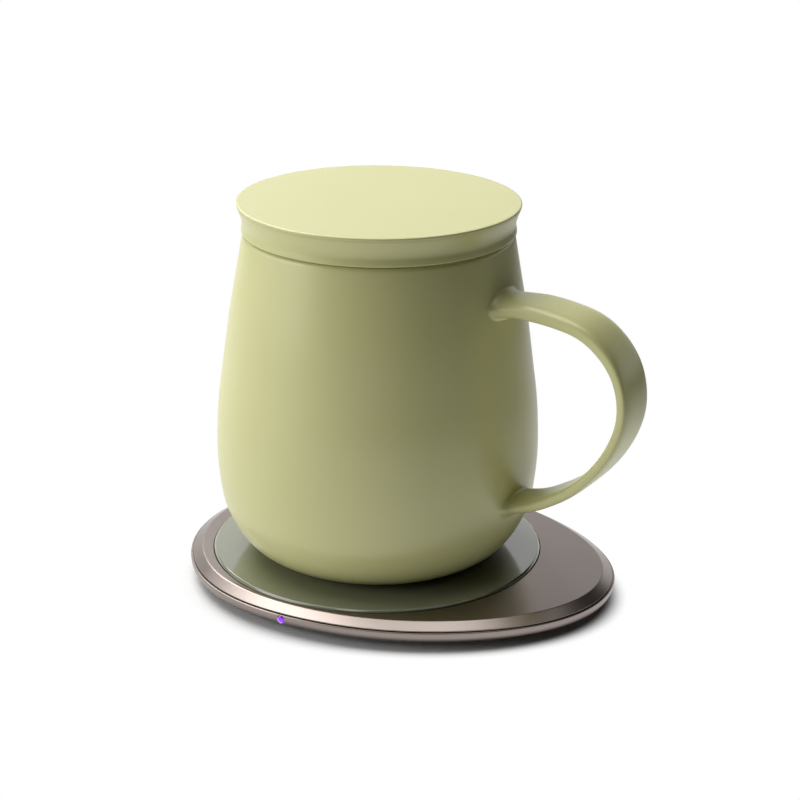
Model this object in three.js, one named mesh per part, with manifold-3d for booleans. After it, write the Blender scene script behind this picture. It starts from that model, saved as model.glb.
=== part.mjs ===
// A lidded ceramic mug on an induction warming pad, in millimetres, +Z up.
// Origin: on the table, on the axis shared by the mug and its round seat.
// +X runs along the pad's long axis, towards its narrow tip.
import * as THREE from 'three';
import { mergeVertices } from 'three/addons/utils/BufferGeometryUtils.js';
import Module from 'manifold-3d';

const wasm = await Module();
wasm.setup();

// Counts, angles and the running gaps that neighbouring pieces share
const degree = Math.PI / 180;
const roundSteps = 40;
const hiddenSteps = 32;
const outlineSteps = 48;
const slotEndSteps = 6;
// How far a corner point of a rounded edge lies from the square corner, in shares of the rounding
const cornerShare = 0.3;
const seatGap = 0.1;
const slideGap = 0.2;
const restGap = 0.3;
const cutOverrun = 1;
const mergeShare = 0.001;

// Mug plate, the round window that the mug stands on
const plateRadius = 48;
const plateProud = 0.7;
const plateBevel = 0.35;
const plateGasketWidth = 3;
const plateGasketThickness = 0.4;

// Warming pad: how far its outline lies outside the plate, every 30 degrees from tip to heel
const padMargins = { tip: 23.65, nose: 16, shoulder: 7.1, side: 3.8, hip: 5.1, back: 6.3, heel: 7.05 };

// Warming pad: heights and walls, from the table up
const footPadThickness = 0.9;
const bandStand = 2.45;
const chamferWidth = 2.9;
const chamferDrop = 1.85;
const edgeRound = 0.25;
const seamHeight = 0.3;
const bandHeight = 3.4;
const bandLean = 0.75;
const bandBulge = 0.78;
// Outline of the band's side: [share of the lean, share of the bulge, share of the band's height]
const bandSideShares = [[0.51, 0.64, 0.2], [0.17, 0.99, 0.45], [0.02, 0.81, 0.72]];
const coverSkin = 1.1;
const skirtWall = 1.3;

// Bottom cover and foot pad, as insets from the pad's outline
const coverFlangeInset = 3.2;
const coverFootInset = 5.6;
const coverFlangeThickness = 0.7;
const coverRibWall = 1;
const coverRibHeight = 1.1;
const floorSink = 0.15;
const footPadInset = 6.6;
const footPadRound = 0.3;

// Mid frame
const frameSheet = 0.8;
const frameRimWall = 1;
const frameRimDrop = 1.3;

// Coil stack, from the outside in
const holderInset = 8.8;
const holderWall = 1;
const holderFloor = 0.7;
const shieldThickness = 0.4;
const ferriteThickness = 0.9;
const insulationThickness = 0.3;
const coilInnerRadius = 12;
const coilMargin = 5.2;
const coilTurns = 8;
const coilStepsPerTurn = 16;
const tapeWidth = 1.8;
const tapeHeight = 1.1;
const leadRadius = 0.4;
const leadSteps = 10;
const leadArcSteps = 3;
const leadSlotWidth = 2.4;
const sensorRadius = 2.6;
const sensorWell = 0.5;
const leadAngles = [14, -14];

// Main board and what is soldered to it
const boardThickness = 0.8;
const boardGap = 1.8;
const boardInset = 5.6;
const boardSweep = 103;
const boardPostRadius = 1.5;
const boardPostAngles = [35, 78, -35, -80];
const ledSize = [1.6, 2.4, 0.9];
const powerChipSize = [6, 6, 0.9];
const controlChipSize = [5, 5, 0.8];
const driverSize = [5, 4, 1];
const capacitorFoot = [5.6, 3.4];
const chokeFoot = [7, 7];
const powerChipAngle = 44;
const controlChipAngle = -48;
const chokeAngle = 0;
const chokeShare = 0.33;
const driverAngles = [21, 29];
const capacitorAngles = [-21, -28, -35];

// Power socket, centred on the long side opposite the status light
const socketWidth = 8.9;
const socketHeight = 3;
const socketDepth = 7.2;
const socketWall = 0.2;
const tongueWidth = 6.7;
const tongueHeight = 0.7;
const tongueReach = 5;
const socketHoldback = 0.15;
const socketRise = 0.12;

// Status light
const lensAngle = -95;
const lensRadius = 1.2;
const lensBelowSeam = 1.35;
const lensProud = 0.1;
const lensFlangeRadius = 1.45;
const lensFlange = 0.5;

// Screws that join the bottom cover to the mid frame
const screwAngles = [0, 68, 125, -125, -68];
const screwInset = 8.6;
const screwTipInset = 9.5;
const screwRadius = 1;
const screwHeadRadius = 1.9;
const screwHeadHeight = 0.8;
const screwHeadSink = 0.25;
const screwSocketRadius = 0.75;
const screwSocketDepth = 0.45;
const bossRadius = 2.4;
const screwPadHeight = 0.8;
const screwSides = 10;

// Parts in the mug's base, from its underside up
const footRingWidth = 3.8;
const baseCoverThickness = 1.1;
const baseSheetThickness = 0.5;
const heatingFilmThickness = 0.3;
const heatingFilmMargin = 2.4;

// Mug: outer radii and heights above its foot
const mugHeight = 95;
const mugFootRadius = 31.2;
const mugBellyRadius = 46.45;
const mugBellyHeight = 31;
const mugRimRadius = 38.2;
const mugWall = 3.8;
const mugFloor = 3.6;
const rimRound = 1.1;
const floorCorner = 3;
const profileSteps = 18;
const innerSteps = 7;
const heightHalvings = 30;
// Outline below the belly: [share of the way from foot to belly radius, share of belly height]
const bowlShares = [[0, 0], [0.1, 0.02], [0.28, 0.066], [0.47, 0.138], [0.615, 0.225], [0.76, 0.35],
  [0.885, 0.5], [0.965, 0.74], [1, 1]];
// Outline above the belly: [share of the way from rim to belly radius, share of what is left]
const shoulderShares = [[0.93, 0.22], [0.74, 0.41], [0.49, 0.64], [0.23, 0.83], [0, 1]];

// Handle: a flat oval ribbon in a plane through the mug's axis
const handleTurn = -5.5;
const handleStandoff = 33.55;
const handleTopHeight = 80.6;
const handleFootHeight = 20.6;
const handleRootCover = 1.2;
const handleSteps = 32;
const handleSides = 12;
// Centreline: [share of the way from the mug's wall to the reach, share of foot-to-top height]
const handleShares = [[0, 1], [0.178, 1.002], [0.431, 0.991], [0.708, 0.944], [0.934, 0.798], [1, 0.597],
  [0.901, 0.399], [0.675, 0.213], [0.381, 0.086], [0, 0]];
// Widths and thicknesses of the ribbon at even steps from its upper root to its lower root
const handleWidths = [15.5, 15.5, 15, 16.5, 14.5];
const handleThicknesses = [5, 4.4, 3.5, 3.3, 3.8];
const rootFlare = 1.4;
const rootFlareLength = 5;
const rootTurnLength = 12;
// How much closer together the steps lie at the roots than on an even ribbon
const rootCrowdShare = 0.7;

// Lid: how far its side stands out past the mug's rim, and heights above its underside
const lidHeight = 8.3;
const lidEdgeOverhang = 1.8;
const lidBeadOverhang = 0.45;
const lidWaistOverhang = 0.2;
const lidEdgeRound = 0.75;
const lidBeadShares = [0.6, 1.4];
const lidTopThickness = 4.4;
const lidPlugGap = 1.6;
const lidPlugDepth = 9;
const lidPlugWall = 4.3;
// Side of the lid from waist to edge: [share from waist to edge radius, share of lid height]
const lidSideShares = [[0, 0.32], [0.12, 0.45], [0.3, 0.58], [0.55, 0.7], [0.8, 0.8], [1, 0.9]];
const sealGroove = 1.2;
const sealHeight = 3;
const sealSeat = 3.4;
const sealWaistRise = 0.2;
// Outline of the seal's two fins: [share from waist to reach, share of its height]
const finShares = [[0, 0], [1, 0.16], [0.1, 0.4], [0, 0.5], [1, 0.7], [0.1, 0.94], [0, 1]];

// Heights that follow from the sizes above
const bandBottom = bandStand;
const bandTop = bandBottom + bandHeight;
const partingHeight = bandTop + seamHeight;
const padTop = partingHeight + chamferDrop;
const bottomUnderside = footPadThickness + seatGap;
const floorTop = bandBottom - seatGap - floorSink;
const frameTop = padTop - coverSkin - seatGap;
const frameUnder = frameTop - frameSheet;
const plateTop = padTop + plateProud;
const plateUnder = frameTop + seatGap;
const mugBase = plateTop + seatGap;
const lidBase = mugBase + mugHeight + restGap;
const boardUnder = floorTop + boardThickness;
const boardTop = boardUnder + boardThickness;
const tallPartHeight = frameUnder - boardTop - seatGap - slideGap;
const baseCoverLow = restGap;
const baseSheetLow = baseCoverLow + baseCoverThickness + seatGap;
const heatingFilmLow = baseSheetLow + baseSheetThickness + seatGap;
const baseRecessDepth = heatingFilmLow + heatingFilmThickness + restGap;

// Radii that follow from the sizes above
const holderRadius = plateRadius - holderInset;
const coilOuterRadius = holderRadius - coilMargin;
const boardInnerRadius = holderRadius + boardGap;
const mouthWidth = socketWidth - socketWall * 2 - seatGap;
const mouthHeight = socketHeight - socketWall * 2;
const baseRecessRadius = mugFootRadius - footRingWidth;
const handleReach = mugBellyRadius + handleStandoff;
const handleRootDepth = mugWall - handleRootCover;
const lidEdgeRadius = mugRimRadius + lidEdgeOverhang;
const lidWaistRadius = mugRimRadius + lidWaistOverhang;
const lidBeadRadius = mugRimRadius + lidBeadOverhang;
const lidPlugRadius = mugRimRadius - mugWall - lidPlugGap;
const sealReach = mugRimRadius - mugWall - slideGap;
const sealWaist = lidPlugRadius + sealWaistRise;

// Finishes, as read from the photograph
const glazedCeramic = { color: 0xc6c48f, roughness: 0.42, metalness: 0 };
const anodisedAluminium = { color: 0x9a8c86, roughness: 0.38, metalness: 0.85 };
const tintedPlate = { color: 0x8d9078, roughness: 0.16, metalness: 0 };
const blackPlastic = { color: 0x18181a, roughness: 0.55, metalness: 0 };
const siliconeRubber = { color: 0x202022, roughness: 0.8, metalness: 0 };
const clearSilicone = { color: 0xd6d6c8, roughness: 0.5, metalness: 0 };
const brightSteel = { color: 0xb9bcc0, roughness: 0.3, metalness: 1 };
const copper = { color: 0xb4683a, roughness: 0.35, metalness: 1 };
const ferrite = { color: 0x2c2b2d, roughness: 0.7, metalness: 0.1 };
const circuitBoard = { color: 0x1f4a33, roughness: 0.5, metalness: 0 };
const chipResin = { color: 0x1b1b1d, roughness: 0.45, metalness: 0 };
const capacitorBrown = { color: 0x7b5a3c, roughness: 0.5, metalness: 0 };
const micaSheet = { color: 0xcdbf9c, roughness: 0.6, metalness: 0 };
const violetLens = { color: 0x9a22ff, roughness: 0.2, metalness: 0 };
const heaterFoil = { color: 0x8f8a80, roughness: 0.35, metalness: 0.9 };

const part = new THREE.Group();
const warmer = new THREE.Group();
const mug = new THREE.Group();
const lid = new THREE.Group();
part.add(warmer, mug, lid);
mug.position.z = mugBase;
mug.rotation.z = handleTurn * degree;
lid.position.z = lidBase;

// Closed mesh to solid and back, so that pieces can be joined and cut
function toSolid(geometry) {
  const bare = geometry.clone();
  bare.deleteAttribute('normal');
  bare.deleteAttribute('uv');
  const merged = mergeVertices(bare, mergeShare * seatGap);
  const triVerts = Uint32Array.from(merged.index.array);
  const vertProperties = Float32Array.from(merged.attributes.position.array);
  return new wasm.Manifold(new wasm.Mesh({ numProp: 3, vertProperties, triVerts }));
}

function toGeometry(solid) {
  const { vertProperties, triVerts } = solid.getMesh();
  const geometry = new THREE.BufferGeometry();
  geometry.setAttribute('position', new THREE.BufferAttribute(vertProperties, 3));
  geometry.setIndex(new THREE.BufferAttribute(triVerts, 1));
  geometry.computeVertexNormals();
  return geometry;
}

function addPiece(group, name, shape, finish) {
  const geometry = shape.isBufferGeometry ? shape : toGeometry(shape);
  const mesh = new THREE.Mesh(geometry, new THREE.MeshStandardMaterial(finish));
  mesh.name = name;
  group.add(mesh);
  return mesh;
}

// Round piece: its [radius, height] profile turned about the Z axis
function turned(profile, sides = roundSteps) {
  const points = profile.map(([radius, height]) => new THREE.Vector2(radius, height));
  return new THREE.LatheGeometry(points, sides).rotateX(Math.PI / 2);
}

function disc(radius, low, high, sides = roundSteps) {
  return turned([[0, low], [radius, low], [radius, high], [0, high]], sides);
}

function ring(inner, outer, low, high, sides = roundSteps) {
  return turned([[inner, low], [outer, low], [outer, high], [inner, high], [inner, low]], sides);
}

function block([width, depth, height], x, y, low) {
  return new THREE.BoxGeometry(width, depth, height).translate(x, y, low + height / 2);
}

// Reach of the pad's outline at an angle: the sum of cosines that passes through the reaches
const reachList = Object.values(padMargins).map((margin) => plateRadius + margin);
const reachSpans = reachList.length - 1;
const reachWaves = reachList.map((_, wave) => {
  const sum = reachList.reduce((total, reach, index) => {
    const endHalf = index === 0 || index === reachSpans ? 1 / 2 : 1;
    return total + endHalf * reach * Math.cos((Math.PI * index * wave) / reachSpans);
  }, 0);
  return (wave === 0 || wave === reachSpans ? sum : 2 * sum) / reachSpans;
});

// Point of the outline at an angle, moved in along the outline's own normal
function outlinePoint(angle, inset) {
  const reach = reachWaves.reduce((sum, size, wave) => sum + size * Math.cos(wave * angle), 0);
  const slope = reachWaves.reduce((sum, size, wave) => sum - wave * size * Math.sin(wave * angle), 0);
  const along = new THREE.Vector2(Math.cos(angle), Math.sin(angle));
  const across = new THREE.Vector2(-along.y, along.x);
  const normal = along.clone().multiplyScalar(reach).addScaledVector(across, -slope).normalize();
  return along.multiplyScalar(reach).addScaledVector(normal, -inset);
}

// Closed body of stacked outline rings, each an [inset, height] level, from the bottom up
function outlineSolid(levels) {
  const positions = [];
  const index = [];
  for (const [inset, height] of levels) {
    for (let step = 0; step < outlineSteps; step += 1) {
      const point = outlinePoint((2 * Math.PI * step) / outlineSteps, inset);
      positions.push(point.x, point.y, height);
    }
  }
  const bottomCentre = positions.length / 3;
  positions.push(0, 0, levels[0][1], 0, 0, levels[levels.length - 1][1]);
  for (let step = 0; step < outlineSteps; step += 1) {
    const next = (step + 1) % outlineSteps;
    for (let level = 0; level < levels.length - 1; level += 1) {
      const low = level * outlineSteps;
      const high = low + outlineSteps;
      index.push(low + step, low + next, high + next, low + step, high + next, high + step);
    }
    const last = (levels.length - 1) * outlineSteps;
    index.push(bottomCentre, next, step, bottomCentre + 1, last + step, last + next);
  }
  const geometry = new THREE.BufferGeometry();
  geometry.setAttribute('position', new THREE.Float32BufferAttribute(positions, 3));
  geometry.setIndex(index);
  return toSolid(geometry);
}

// Screw places: along the inset outline, a little further in at the tip
const screwPlaces = screwAngles.map((angle) => (
  outlinePoint(angle * degree, angle === 0 ? screwTipInset : screwInset)));

// Upright round peg at a place in the pad, to join to a cover or to cut a hole
function pegAt(place, radius, low, high) {
  return toSolid(disc(radius, low, high, screwSides).translate(place.x, place.y, 0));
}

function makeTopCover() {
  const outer = outlineSolid([
    [0, partingHeight],
    [0, partingHeight + edgeRound],
    [chamferWidth - edgeRound, padTop - edgeRound * (chamferDrop / chamferWidth)],
    [chamferWidth + edgeRound, padTop],
  ]);
  const hollow = outlineSolid([
    [skirtWall, partingHeight - cutOverrun],
    [skirtWall, partingHeight],
    [skirtWall + chamferWidth, padTop - coverSkin],
  ]);
  const opening = toSolid(disc(plateRadius + slideGap, partingHeight - cutOverrun, padTop + cutOverrun));
  return outer.subtract(hollow).subtract(opening);
}

function makeSeamGasket() {
  const low = bandTop + seatGap / 2;
  const high = partingHeight - seatGap / 2;
  const outer = outlineSolid([[edgeRound * 2, low], [edgeRound * 2, high]]);
  return outer.subtract(outlineSolid([[skirtWall, low - cutOverrun], [skirtWall, high + cutOverrun]]));
}

// The status light's lens and the power socket both pass through the side band
const lensPlace = outlinePoint(lensAngle * degree, 0);
const lensHeight = bandTop - lensBelowSeam;
const socketMiddle = (bandTop + bandBottom) / 2 + socketRise;
const bandInner = skirtWall - seatGap;
const socketFront = outlinePoint(Math.PI / 2, bandInner).y - socketHoldback;

// Round bar that points straight out through the band where the lens sits
function lensBar(radius, outerInset, innerInset) {
  const bar = new THREE.CylinderGeometry(radius, radius, innerInset - outerInset, roundSteps / 2);
  const outward = lensPlace.clone().sub(outlinePoint(lensAngle * degree, skirtWall)).normalize();
  const middle = (innerInset + outerInset) / 2;
  bar.rotateZ(-Math.PI / 2).rotateZ(Math.atan2(outward.y, outward.x));
  return bar.translate(lensPlace.x - outward.x * middle, lensPlace.y - outward.y * middle, lensHeight);
}

// Flat-sided slot with round ends, standing upright and running along Y
function stadiumBar(width, height, from, to) {
  const shape = new THREE.Shape();
  const half = (width - height) / 2;
  shape.absarc(half, 0, height / 2, -Math.PI / 2, Math.PI / 2, false);
  shape.absarc(-half, 0, height / 2, Math.PI / 2, -Math.PI / 2, false);
  const bar = new THREE.ExtrudeGeometry(shape, {
    depth: to - from, bevelEnabled: false, curveSegments: slotEndSteps,
  });
  return bar.rotateX(Math.PI / 2).translate(0, to, socketMiddle);
}

// Room that the covers leave round the status lens, behind the band's outer wall
function lensRoom() {
  return toSolid(lensBar(lensFlangeRadius + seatGap, skirtWall, boardInset + ledSize[0]));
}

// Room that the covers leave round the power socket, open towards the middle
function socketRoom() {
  const size = [socketWidth + slideGap * 2, socketDepth * 2, socketHeight + seatGap * 2];
  return toSolid(block(size, 0, socketFront + seatGap - socketDepth, socketMiddle - size[2] / 2));
}

function makeSideBand() {
  const sideLevels = bandSideShares.map(([lean, bulge, up]) => (
    [bandLean * lean - bandBulge * bulge, bandBottom + bandHeight * up]));
  const [lowLevel] = sideLevels;
  const highLevel = sideLevels[sideLevels.length - 1];
  const outer = outlineSolid([
    [bandLean + edgeRound, bandBottom],
    [bandLean, bandBottom + edgeRound / 2],
    ...sideLevels,
    [0, bandTop - edgeRound],
    [edgeRound / 2, bandTop],
  ]);
  const hollow = outlineSolid([
    [coverFlangeInset, bandBottom - cutOverrun],
    [coverFlangeInset, bandBottom + edgeRound],
    [bandLean + bandInner, lowLevel[1]],
    [bandInner, highLevel[1]],
    [bandInner, bandTop + cutOverrun],
  ]);
  const socketMouth = toSolid(stadiumBar(mouthWidth, mouthHeight, socketFront,
    plateRadius + padMargins.side + bandBulge + cutOverrun));
  const lensHole = toSolid(lensBar(lensRadius + seatGap, -bandBulge - cutOverrun, skirtWall * 2));
  return outer.subtract(hollow).subtract(socketMouth).subtract(socketRoom()).subtract(lensHole)
    .subtract(lensRoom());
}

function makeBottomCover() {
  const flangeTop = bandBottom - seatGap;
  const flangeUnder = flangeTop - coverFlangeThickness;
  const ribInset = coverFlangeInset + slideGap;
  let cover = outlineSolid([
    [coverFootInset, bottomUnderside],
    [coverFootInset - edgeRound, bottomUnderside + edgeRound / 2],
    [coverFlangeInset, flangeUnder],
    [coverFlangeInset - seatGap, flangeTop],
  ]);
  const inside = outlineSolid([
    [ribInset + coverRibWall, floorTop],
    [ribInset + coverRibWall, flangeTop + coverRibHeight + cutOverrun],
  ]);
  const rib = outlineSolid([[ribInset, flangeUnder], [ribInset, flangeTop + coverRibHeight]]);
  cover = cover.add(rib).subtract(inside);
  cover = cover.subtract(socketRoom());
  cover = cover.subtract(lensRoom());
  for (const angle of boardPostAngles) {
    const place = boardPlace(angle, 1 / 2);
    cover = cover.add(pegAt(place, boardPostRadius, floorTop - seatGap, boardUnder - seatGap));
  }
  const padTopHeight = floorTop + screwPadHeight;
  const headRoom = bottomUnderside + screwHeadSink + screwHeadHeight + seatGap;
  for (const place of screwPlaces) {
    cover = cover.add(pegAt(place, bossRadius + slideGap, floorTop - seatGap, padTopHeight));
    cover = cover.subtract(pegAt(place, screwHeadRadius + slideGap, bottomUnderside - cutOverrun, headRoom));
    cover = cover.subtract(pegAt(place, screwRadius + slideGap, bottomUnderside, padTopHeight + cutOverrun));
  }
  return cover;
}

function makeFootPad() {
  return outlineSolid([
    [footPadInset + footPadRound, 0],
    [footPadInset, footPadRound],
    [footPadInset, footPadThickness],
  ]);
}

function makeMidFrame() {
  const rimInset = skirtWall + seatGap;
  const rimBottom = partingHeight - frameRimDrop;
  let frame = outlineSolid([
    [rimInset, rimBottom],
    [rimInset, partingHeight],
    [rimInset + chamferWidth, frameTop],
  ]);
  frame = frame.subtract(outlineSolid([
    [rimInset + frameRimWall, rimBottom - cutOverrun],
    [rimInset + frameRimWall, frameUnder],
  ]));
  frame = frame.subtract(toSolid(disc(holderRadius + slideGap, rimBottom, frameTop + cutOverrun)));
  const gasketOuter = plateRadius - slideGap;
  frame = frame.subtract(toSolid(ring(gasketOuter - plateGasketWidth - seatGap * 2, gasketOuter,
    frameTop - plateGasketThickness - seatGap, frameTop + cutOverrun)));
  frame = frame.subtract(socketRoom());
  frame = frame.subtract(lensRoom());
  const bossLow = floorTop + screwPadHeight + seatGap;
  for (const place of screwPlaces) {
    frame = frame.add(pegAt(place, bossRadius, bossLow, frameUnder + seatGap));
    frame = frame.subtract(pegAt(place, screwRadius + seatGap / 2, bossLow - cutOverrun, frameUnder));
  }
  return frame;
}

function makeScrew(place) {
  const headLow = bottomUnderside + screwHeadSink;
  const headHigh = headLow + screwHeadHeight;
  const screw = turned([
    [0, headLow + screwSocketDepth],
    [screwSocketRadius, headLow + screwSocketDepth],
    [screwSocketRadius, headLow],
    [screwHeadRadius, headLow],
    [screwHeadRadius, headHigh],
    [screwRadius, headHigh],
    [screwRadius, frameUnder - restGap],
    [0, frameUnder - restGap],
  ], screwSides);
  return screw.translate(place.x, place.y, 0);
}

function makeMugPlate() {
  return turned([
    [0, plateUnder],
    [plateRadius - plateBevel, plateUnder],
    [plateRadius, plateUnder + plateBevel],
    [plateRadius, plateTop - plateBevel],
    [plateRadius - plateBevel, plateTop],
    [0, plateTop],
  ]);
}

// The coil stack, each layer resting on the one below
const holderUnder = floorTop + seatGap;
const shieldUnder = holderUnder + holderFloor + seatGap;
const ferriteUnder = shieldUnder + shieldThickness + seatGap;
const coilUnder = ferriteUnder + ferriteThickness + seatGap;
const insulationUnder = coilUnder + tapeHeight + seatGap;
const stackRadius = holderRadius - holderWall - seatGap;
const holderTop = plateUnder - seatGap;

// A slot for one coil lead, cut outwards from a start radius
function leadSlot(angle, startRadius, low) {
  const length = holderRadius + cutOverrun - startRadius;
  const slot = new THREE.BoxGeometry(length, leadSlotWidth, holderTop + cutOverrun - low);
  return toSolid(slot.translate(startRadius + length / 2, 0, (holderTop + cutOverrun + low) / 2)
    .rotateZ(angle * degree));
}

function makeCoilHolder() {
  let holder = toSolid(disc(holderRadius, holderUnder, holderTop, hiddenSteps));
  const well = disc(holderRadius - holderWall, shieldUnder - seatGap, holderTop + cutOverrun, hiddenSteps);
  holder = holder.subtract(toSolid(well));
  for (const angle of leadAngles) {
    holder = holder.subtract(leadSlot(angle, stackRadius - holderWall, ferriteUnder));
  }
  return holder;
}

function makeFerriteDisc() {
  const plain = toSolid(ring(sensorRadius + sensorWell, stackRadius, ferriteUnder,
    ferriteUnder + ferriteThickness, hiddenSteps));
  return plain.subtract(leadSlot(leadAngles[1], coilInnerRadius - tapeWidth, ferriteUnder - cutOverrun));
}

// Flat spiral of copper tape: the radius grows evenly with the angle
function makeCoil() {
  const steps = coilTurns * coilStepsPerTurn;
  const positions = [];
  const index = [];
  const growth = (coilOuterRadius - coilInnerRadius - tapeWidth) / coilTurns;
  for (let step = 0; step <= steps; step += 1) {
    const turns = step / coilStepsPerTurn;
    const angle = 2 * Math.PI * turns + leadAngles[1] * degree;
    const inner = coilInnerRadius + growth * turns;
    for (const [radius, height] of [[inner, 0], [inner + tapeWidth, 0], [inner + tapeWidth, tapeHeight],
      [inner, tapeHeight]]) {
      positions.push(radius * Math.cos(angle), radius * Math.sin(angle), coilUnder + height);
    }
  }
  for (let step = 0; step < steps; step += 1) {
    for (let side = 0; side < 4; side += 1) {
      const here = step * 4 + side;
      const beside = step * 4 + (side + 1) % 4;
      index.push(here, beside + 4, beside, here, here + 4, beside + 4);
    }
  }
  const last = steps * 4;
  index.push(0, 1, 2, 0, 2, 3, last, last + 2, last + 1, last, last + 3, last + 2);
  console.log('least gap between coil turns', (growth - tapeWidth).toFixed(2), 'mm');
  const geometry = new THREE.BufferGeometry();
  geometry.setAttribute('position', new THREE.Float32BufferAttribute(positions, 3));
  geometry.setIndex(index);
  return toSolid(geometry);
}

// A coil lead: out through the holder's slot and down to the board
function makeLead(angle, startRadius, startHeight) {
  const landing = boardInnerRadius + leadSlotWidth;
  const drop = boardTop + leadRadius + seatGap;
  const path = new THREE.CatmullRomCurve3([
    new THREE.Vector3(startRadius, 0, startHeight),
    new THREE.Vector3(stackRadius, 0, startHeight),
    new THREE.Vector3(holderRadius, 0, (startHeight + drop) / 2),
    new THREE.Vector3(landing - leadRadius, 0, drop),
    new THREE.Vector3(landing + leadSlotWidth, 0, drop),
  ]);
  const shape = new THREE.Shape();
  shape.absarc(0, 0, leadRadius, 0, 2 * Math.PI, false);
  const lead = new THREE.ExtrudeGeometry(shape, {
    steps: leadSteps, curveSegments: leadArcSteps, extrudePath: path,
  });
  return toSolid(lead.rotateZ(angle * degree));
}

// The main board: a crescent round the coil holder, from the status light to the power socket
function boardOutline() {
  const shape = new THREE.Shape();
  const steps = outlineSteps / 2;
  for (let step = 0; step <= steps; step += 1) {
    const angle = (-boardSweep + (2 * boardSweep * step) / steps) * degree;
    const point = outlinePoint(angle, boardInset);
    if (step === 0) shape.moveTo(point.x, point.y);
    else shape.lineTo(point.x, point.y);
  }
  for (let step = steps; step >= 0; step -= 1) {
    const angle = (-boardSweep + (2 * boardSweep * step) / steps) * degree;
    shape.lineTo(boardInnerRadius * Math.cos(angle), boardInnerRadius * Math.sin(angle));
  }
  return shape;
}

// Place on the board: an angle, and a share of the way from its inner edge to its outer edge
function boardPlace(angle, share) {
  const outerRadius = outlinePoint(angle * degree, boardInset).length();
  const radius = boardInnerRadius + share * (outerRadius - boardInnerRadius);
  return new THREE.Vector2(radius * Math.cos(angle * degree), radius * Math.sin(angle * degree));
}

function makeMainBoard() {
  const sheet = new THREE.ExtrudeGeometry(boardOutline(), { depth: boardThickness, bevelEnabled: false });
  let board = toSolid(sheet.translate(0, 0, boardUnder));
  const holeRadius = bossRadius + slideGap * 2;
  for (const place of screwPlaces) {
    board = board.subtract(pegAt(place, holeRadius, boardUnder - cutOverrun, boardTop + cutOverrun));
  }
  const notch = [socketWidth + slideGap * 2, socketDepth * 2, boardThickness + cutOverrun * 2];
  return board.subtract(toSolid(block(notch, 0, socketFront, boardUnder - cutOverrun)));
}

function makeSocketShell() {
  const rear = socketFront - socketDepth;
  const outer = toSolid(stadiumBar(socketWidth, socketHeight, rear, socketFront));
  const inner = stadiumBar(socketWidth - socketWall * 2, socketHeight - socketWall * 2, rear + socketWall * 2,
    socketFront + cutOverrun);
  return outer.subtract(toSolid(inner));
}

function makeSocketTongue() {
  const rear = socketFront - socketDepth + socketWall * 2 + seatGap;
  const size = [tongueWidth, tongueReach, tongueHeight];
  return block(size, 0, rear + tongueReach / 2, socketMiddle - tongueHeight / 2);
}

function makeStatusLens() {
  const bar = toSolid(lensBar(lensRadius, -bandBulge - lensProud, boardInset - slideGap));
  return bar.add(toSolid(lensBar(lensFlangeRadius, skirtWall + lensFlange, skirtWall + lensFlange * 2)));
}

// A part soldered to the board, its first size along the radius
function onBoard(size, angle, share) {
  return block(size, boardPlace(angle, share).length(), 0, boardTop + seatGap).rotateZ(angle * degree);
}

addPiece(warmer, 'top_cover', makeTopCover(), anodisedAluminium);
addPiece(warmer, 'side_band', makeSideBand(), anodisedAluminium);
addPiece(warmer, 'seam_gasket', makeSeamGasket(), siliconeRubber);
addPiece(warmer, 'mug_plate', makeMugPlate(), tintedPlate);
addPiece(warmer, 'plate_gasket', ring(plateRadius - slideGap - plateGasketWidth - seatGap,
  plateRadius - slideGap - seatGap, frameTop - plateGasketThickness, frameTop), siliconeRubber);
addPiece(warmer, 'mid_frame', makeMidFrame(), blackPlastic);
addPiece(warmer, 'bottom_cover', makeBottomCover(), blackPlastic);
addPiece(warmer, 'foot_pad', makeFootPad(), siliconeRubber);
addPiece(warmer, 'coil_holder', makeCoilHolder(), blackPlastic);
addPiece(warmer, 'shield_plate', ring(sensorRadius + sensorWell, stackRadius, shieldUnder,
  shieldUnder + shieldThickness, hiddenSteps), heaterFoil);
addPiece(warmer, 'ferrite_disc', makeFerriteDisc(), ferrite);
addPiece(warmer, 'induction_coil', makeCoil(), copper);
addPiece(warmer, 'insulation_sheet', ring(sensorRadius + sensorWell, stackRadius, insulationUnder,
  insulationUnder + insulationThickness, hiddenSteps), micaSheet);
addPiece(warmer, 'temperature_sensor', disc(sensorRadius, shieldUnder, plateUnder - seatGap, screwSides),
  brightSteel);
addPiece(warmer, 'coil_lead_outer', makeLead(leadAngles[0], coilOuterRadius + slideGap,
  coilUnder + tapeHeight / 2), copper);
addPiece(warmer, 'coil_lead_inner', makeLead(leadAngles[1], coilInnerRadius, coilUnder - seatGap - leadRadius
  - seatGap), copper);
addPiece(warmer, 'main_board', makeMainBoard(), circuitBoard);
addPiece(warmer, 'power_chip', onBoard(powerChipSize, powerChipAngle, 1 / 2), chipResin);
addPiece(warmer, 'control_chip', onBoard(controlChipSize, controlChipAngle, 1 / 2), chipResin);
addPiece(warmer, 'power_choke', onBoard([...chokeFoot, tallPartHeight], chokeAngle, chokeShare), ferrite);
addPiece(warmer, 'status_led', block(ledSize, boardPlace(lensAngle, 1).length() - ledSize[0] / 2 - seatGap, 0,
  boardTop + seatGap).rotateZ(lensAngle * degree), clearSilicone);
driverAngles.forEach((angle, number) => {
  addPiece(warmer, `driver_transistor_${number + 1}`, onBoard(driverSize, angle, 1 / 2), chipResin);
});
capacitorAngles.forEach((angle, number) => {
  const capacitor = onBoard([...capacitorFoot, tallPartHeight], angle, 1 / 2);
  addPiece(warmer, `resonant_capacitor_${number + 1}`, capacitor, capacitorBrown);
});
addPiece(warmer, 'socket_shell', makeSocketShell(), brightSteel);
addPiece(warmer, 'socket_tongue', makeSocketTongue(), blackPlastic);
addPiece(warmer, 'status_lens', makeStatusLens(), violetLens);
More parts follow.
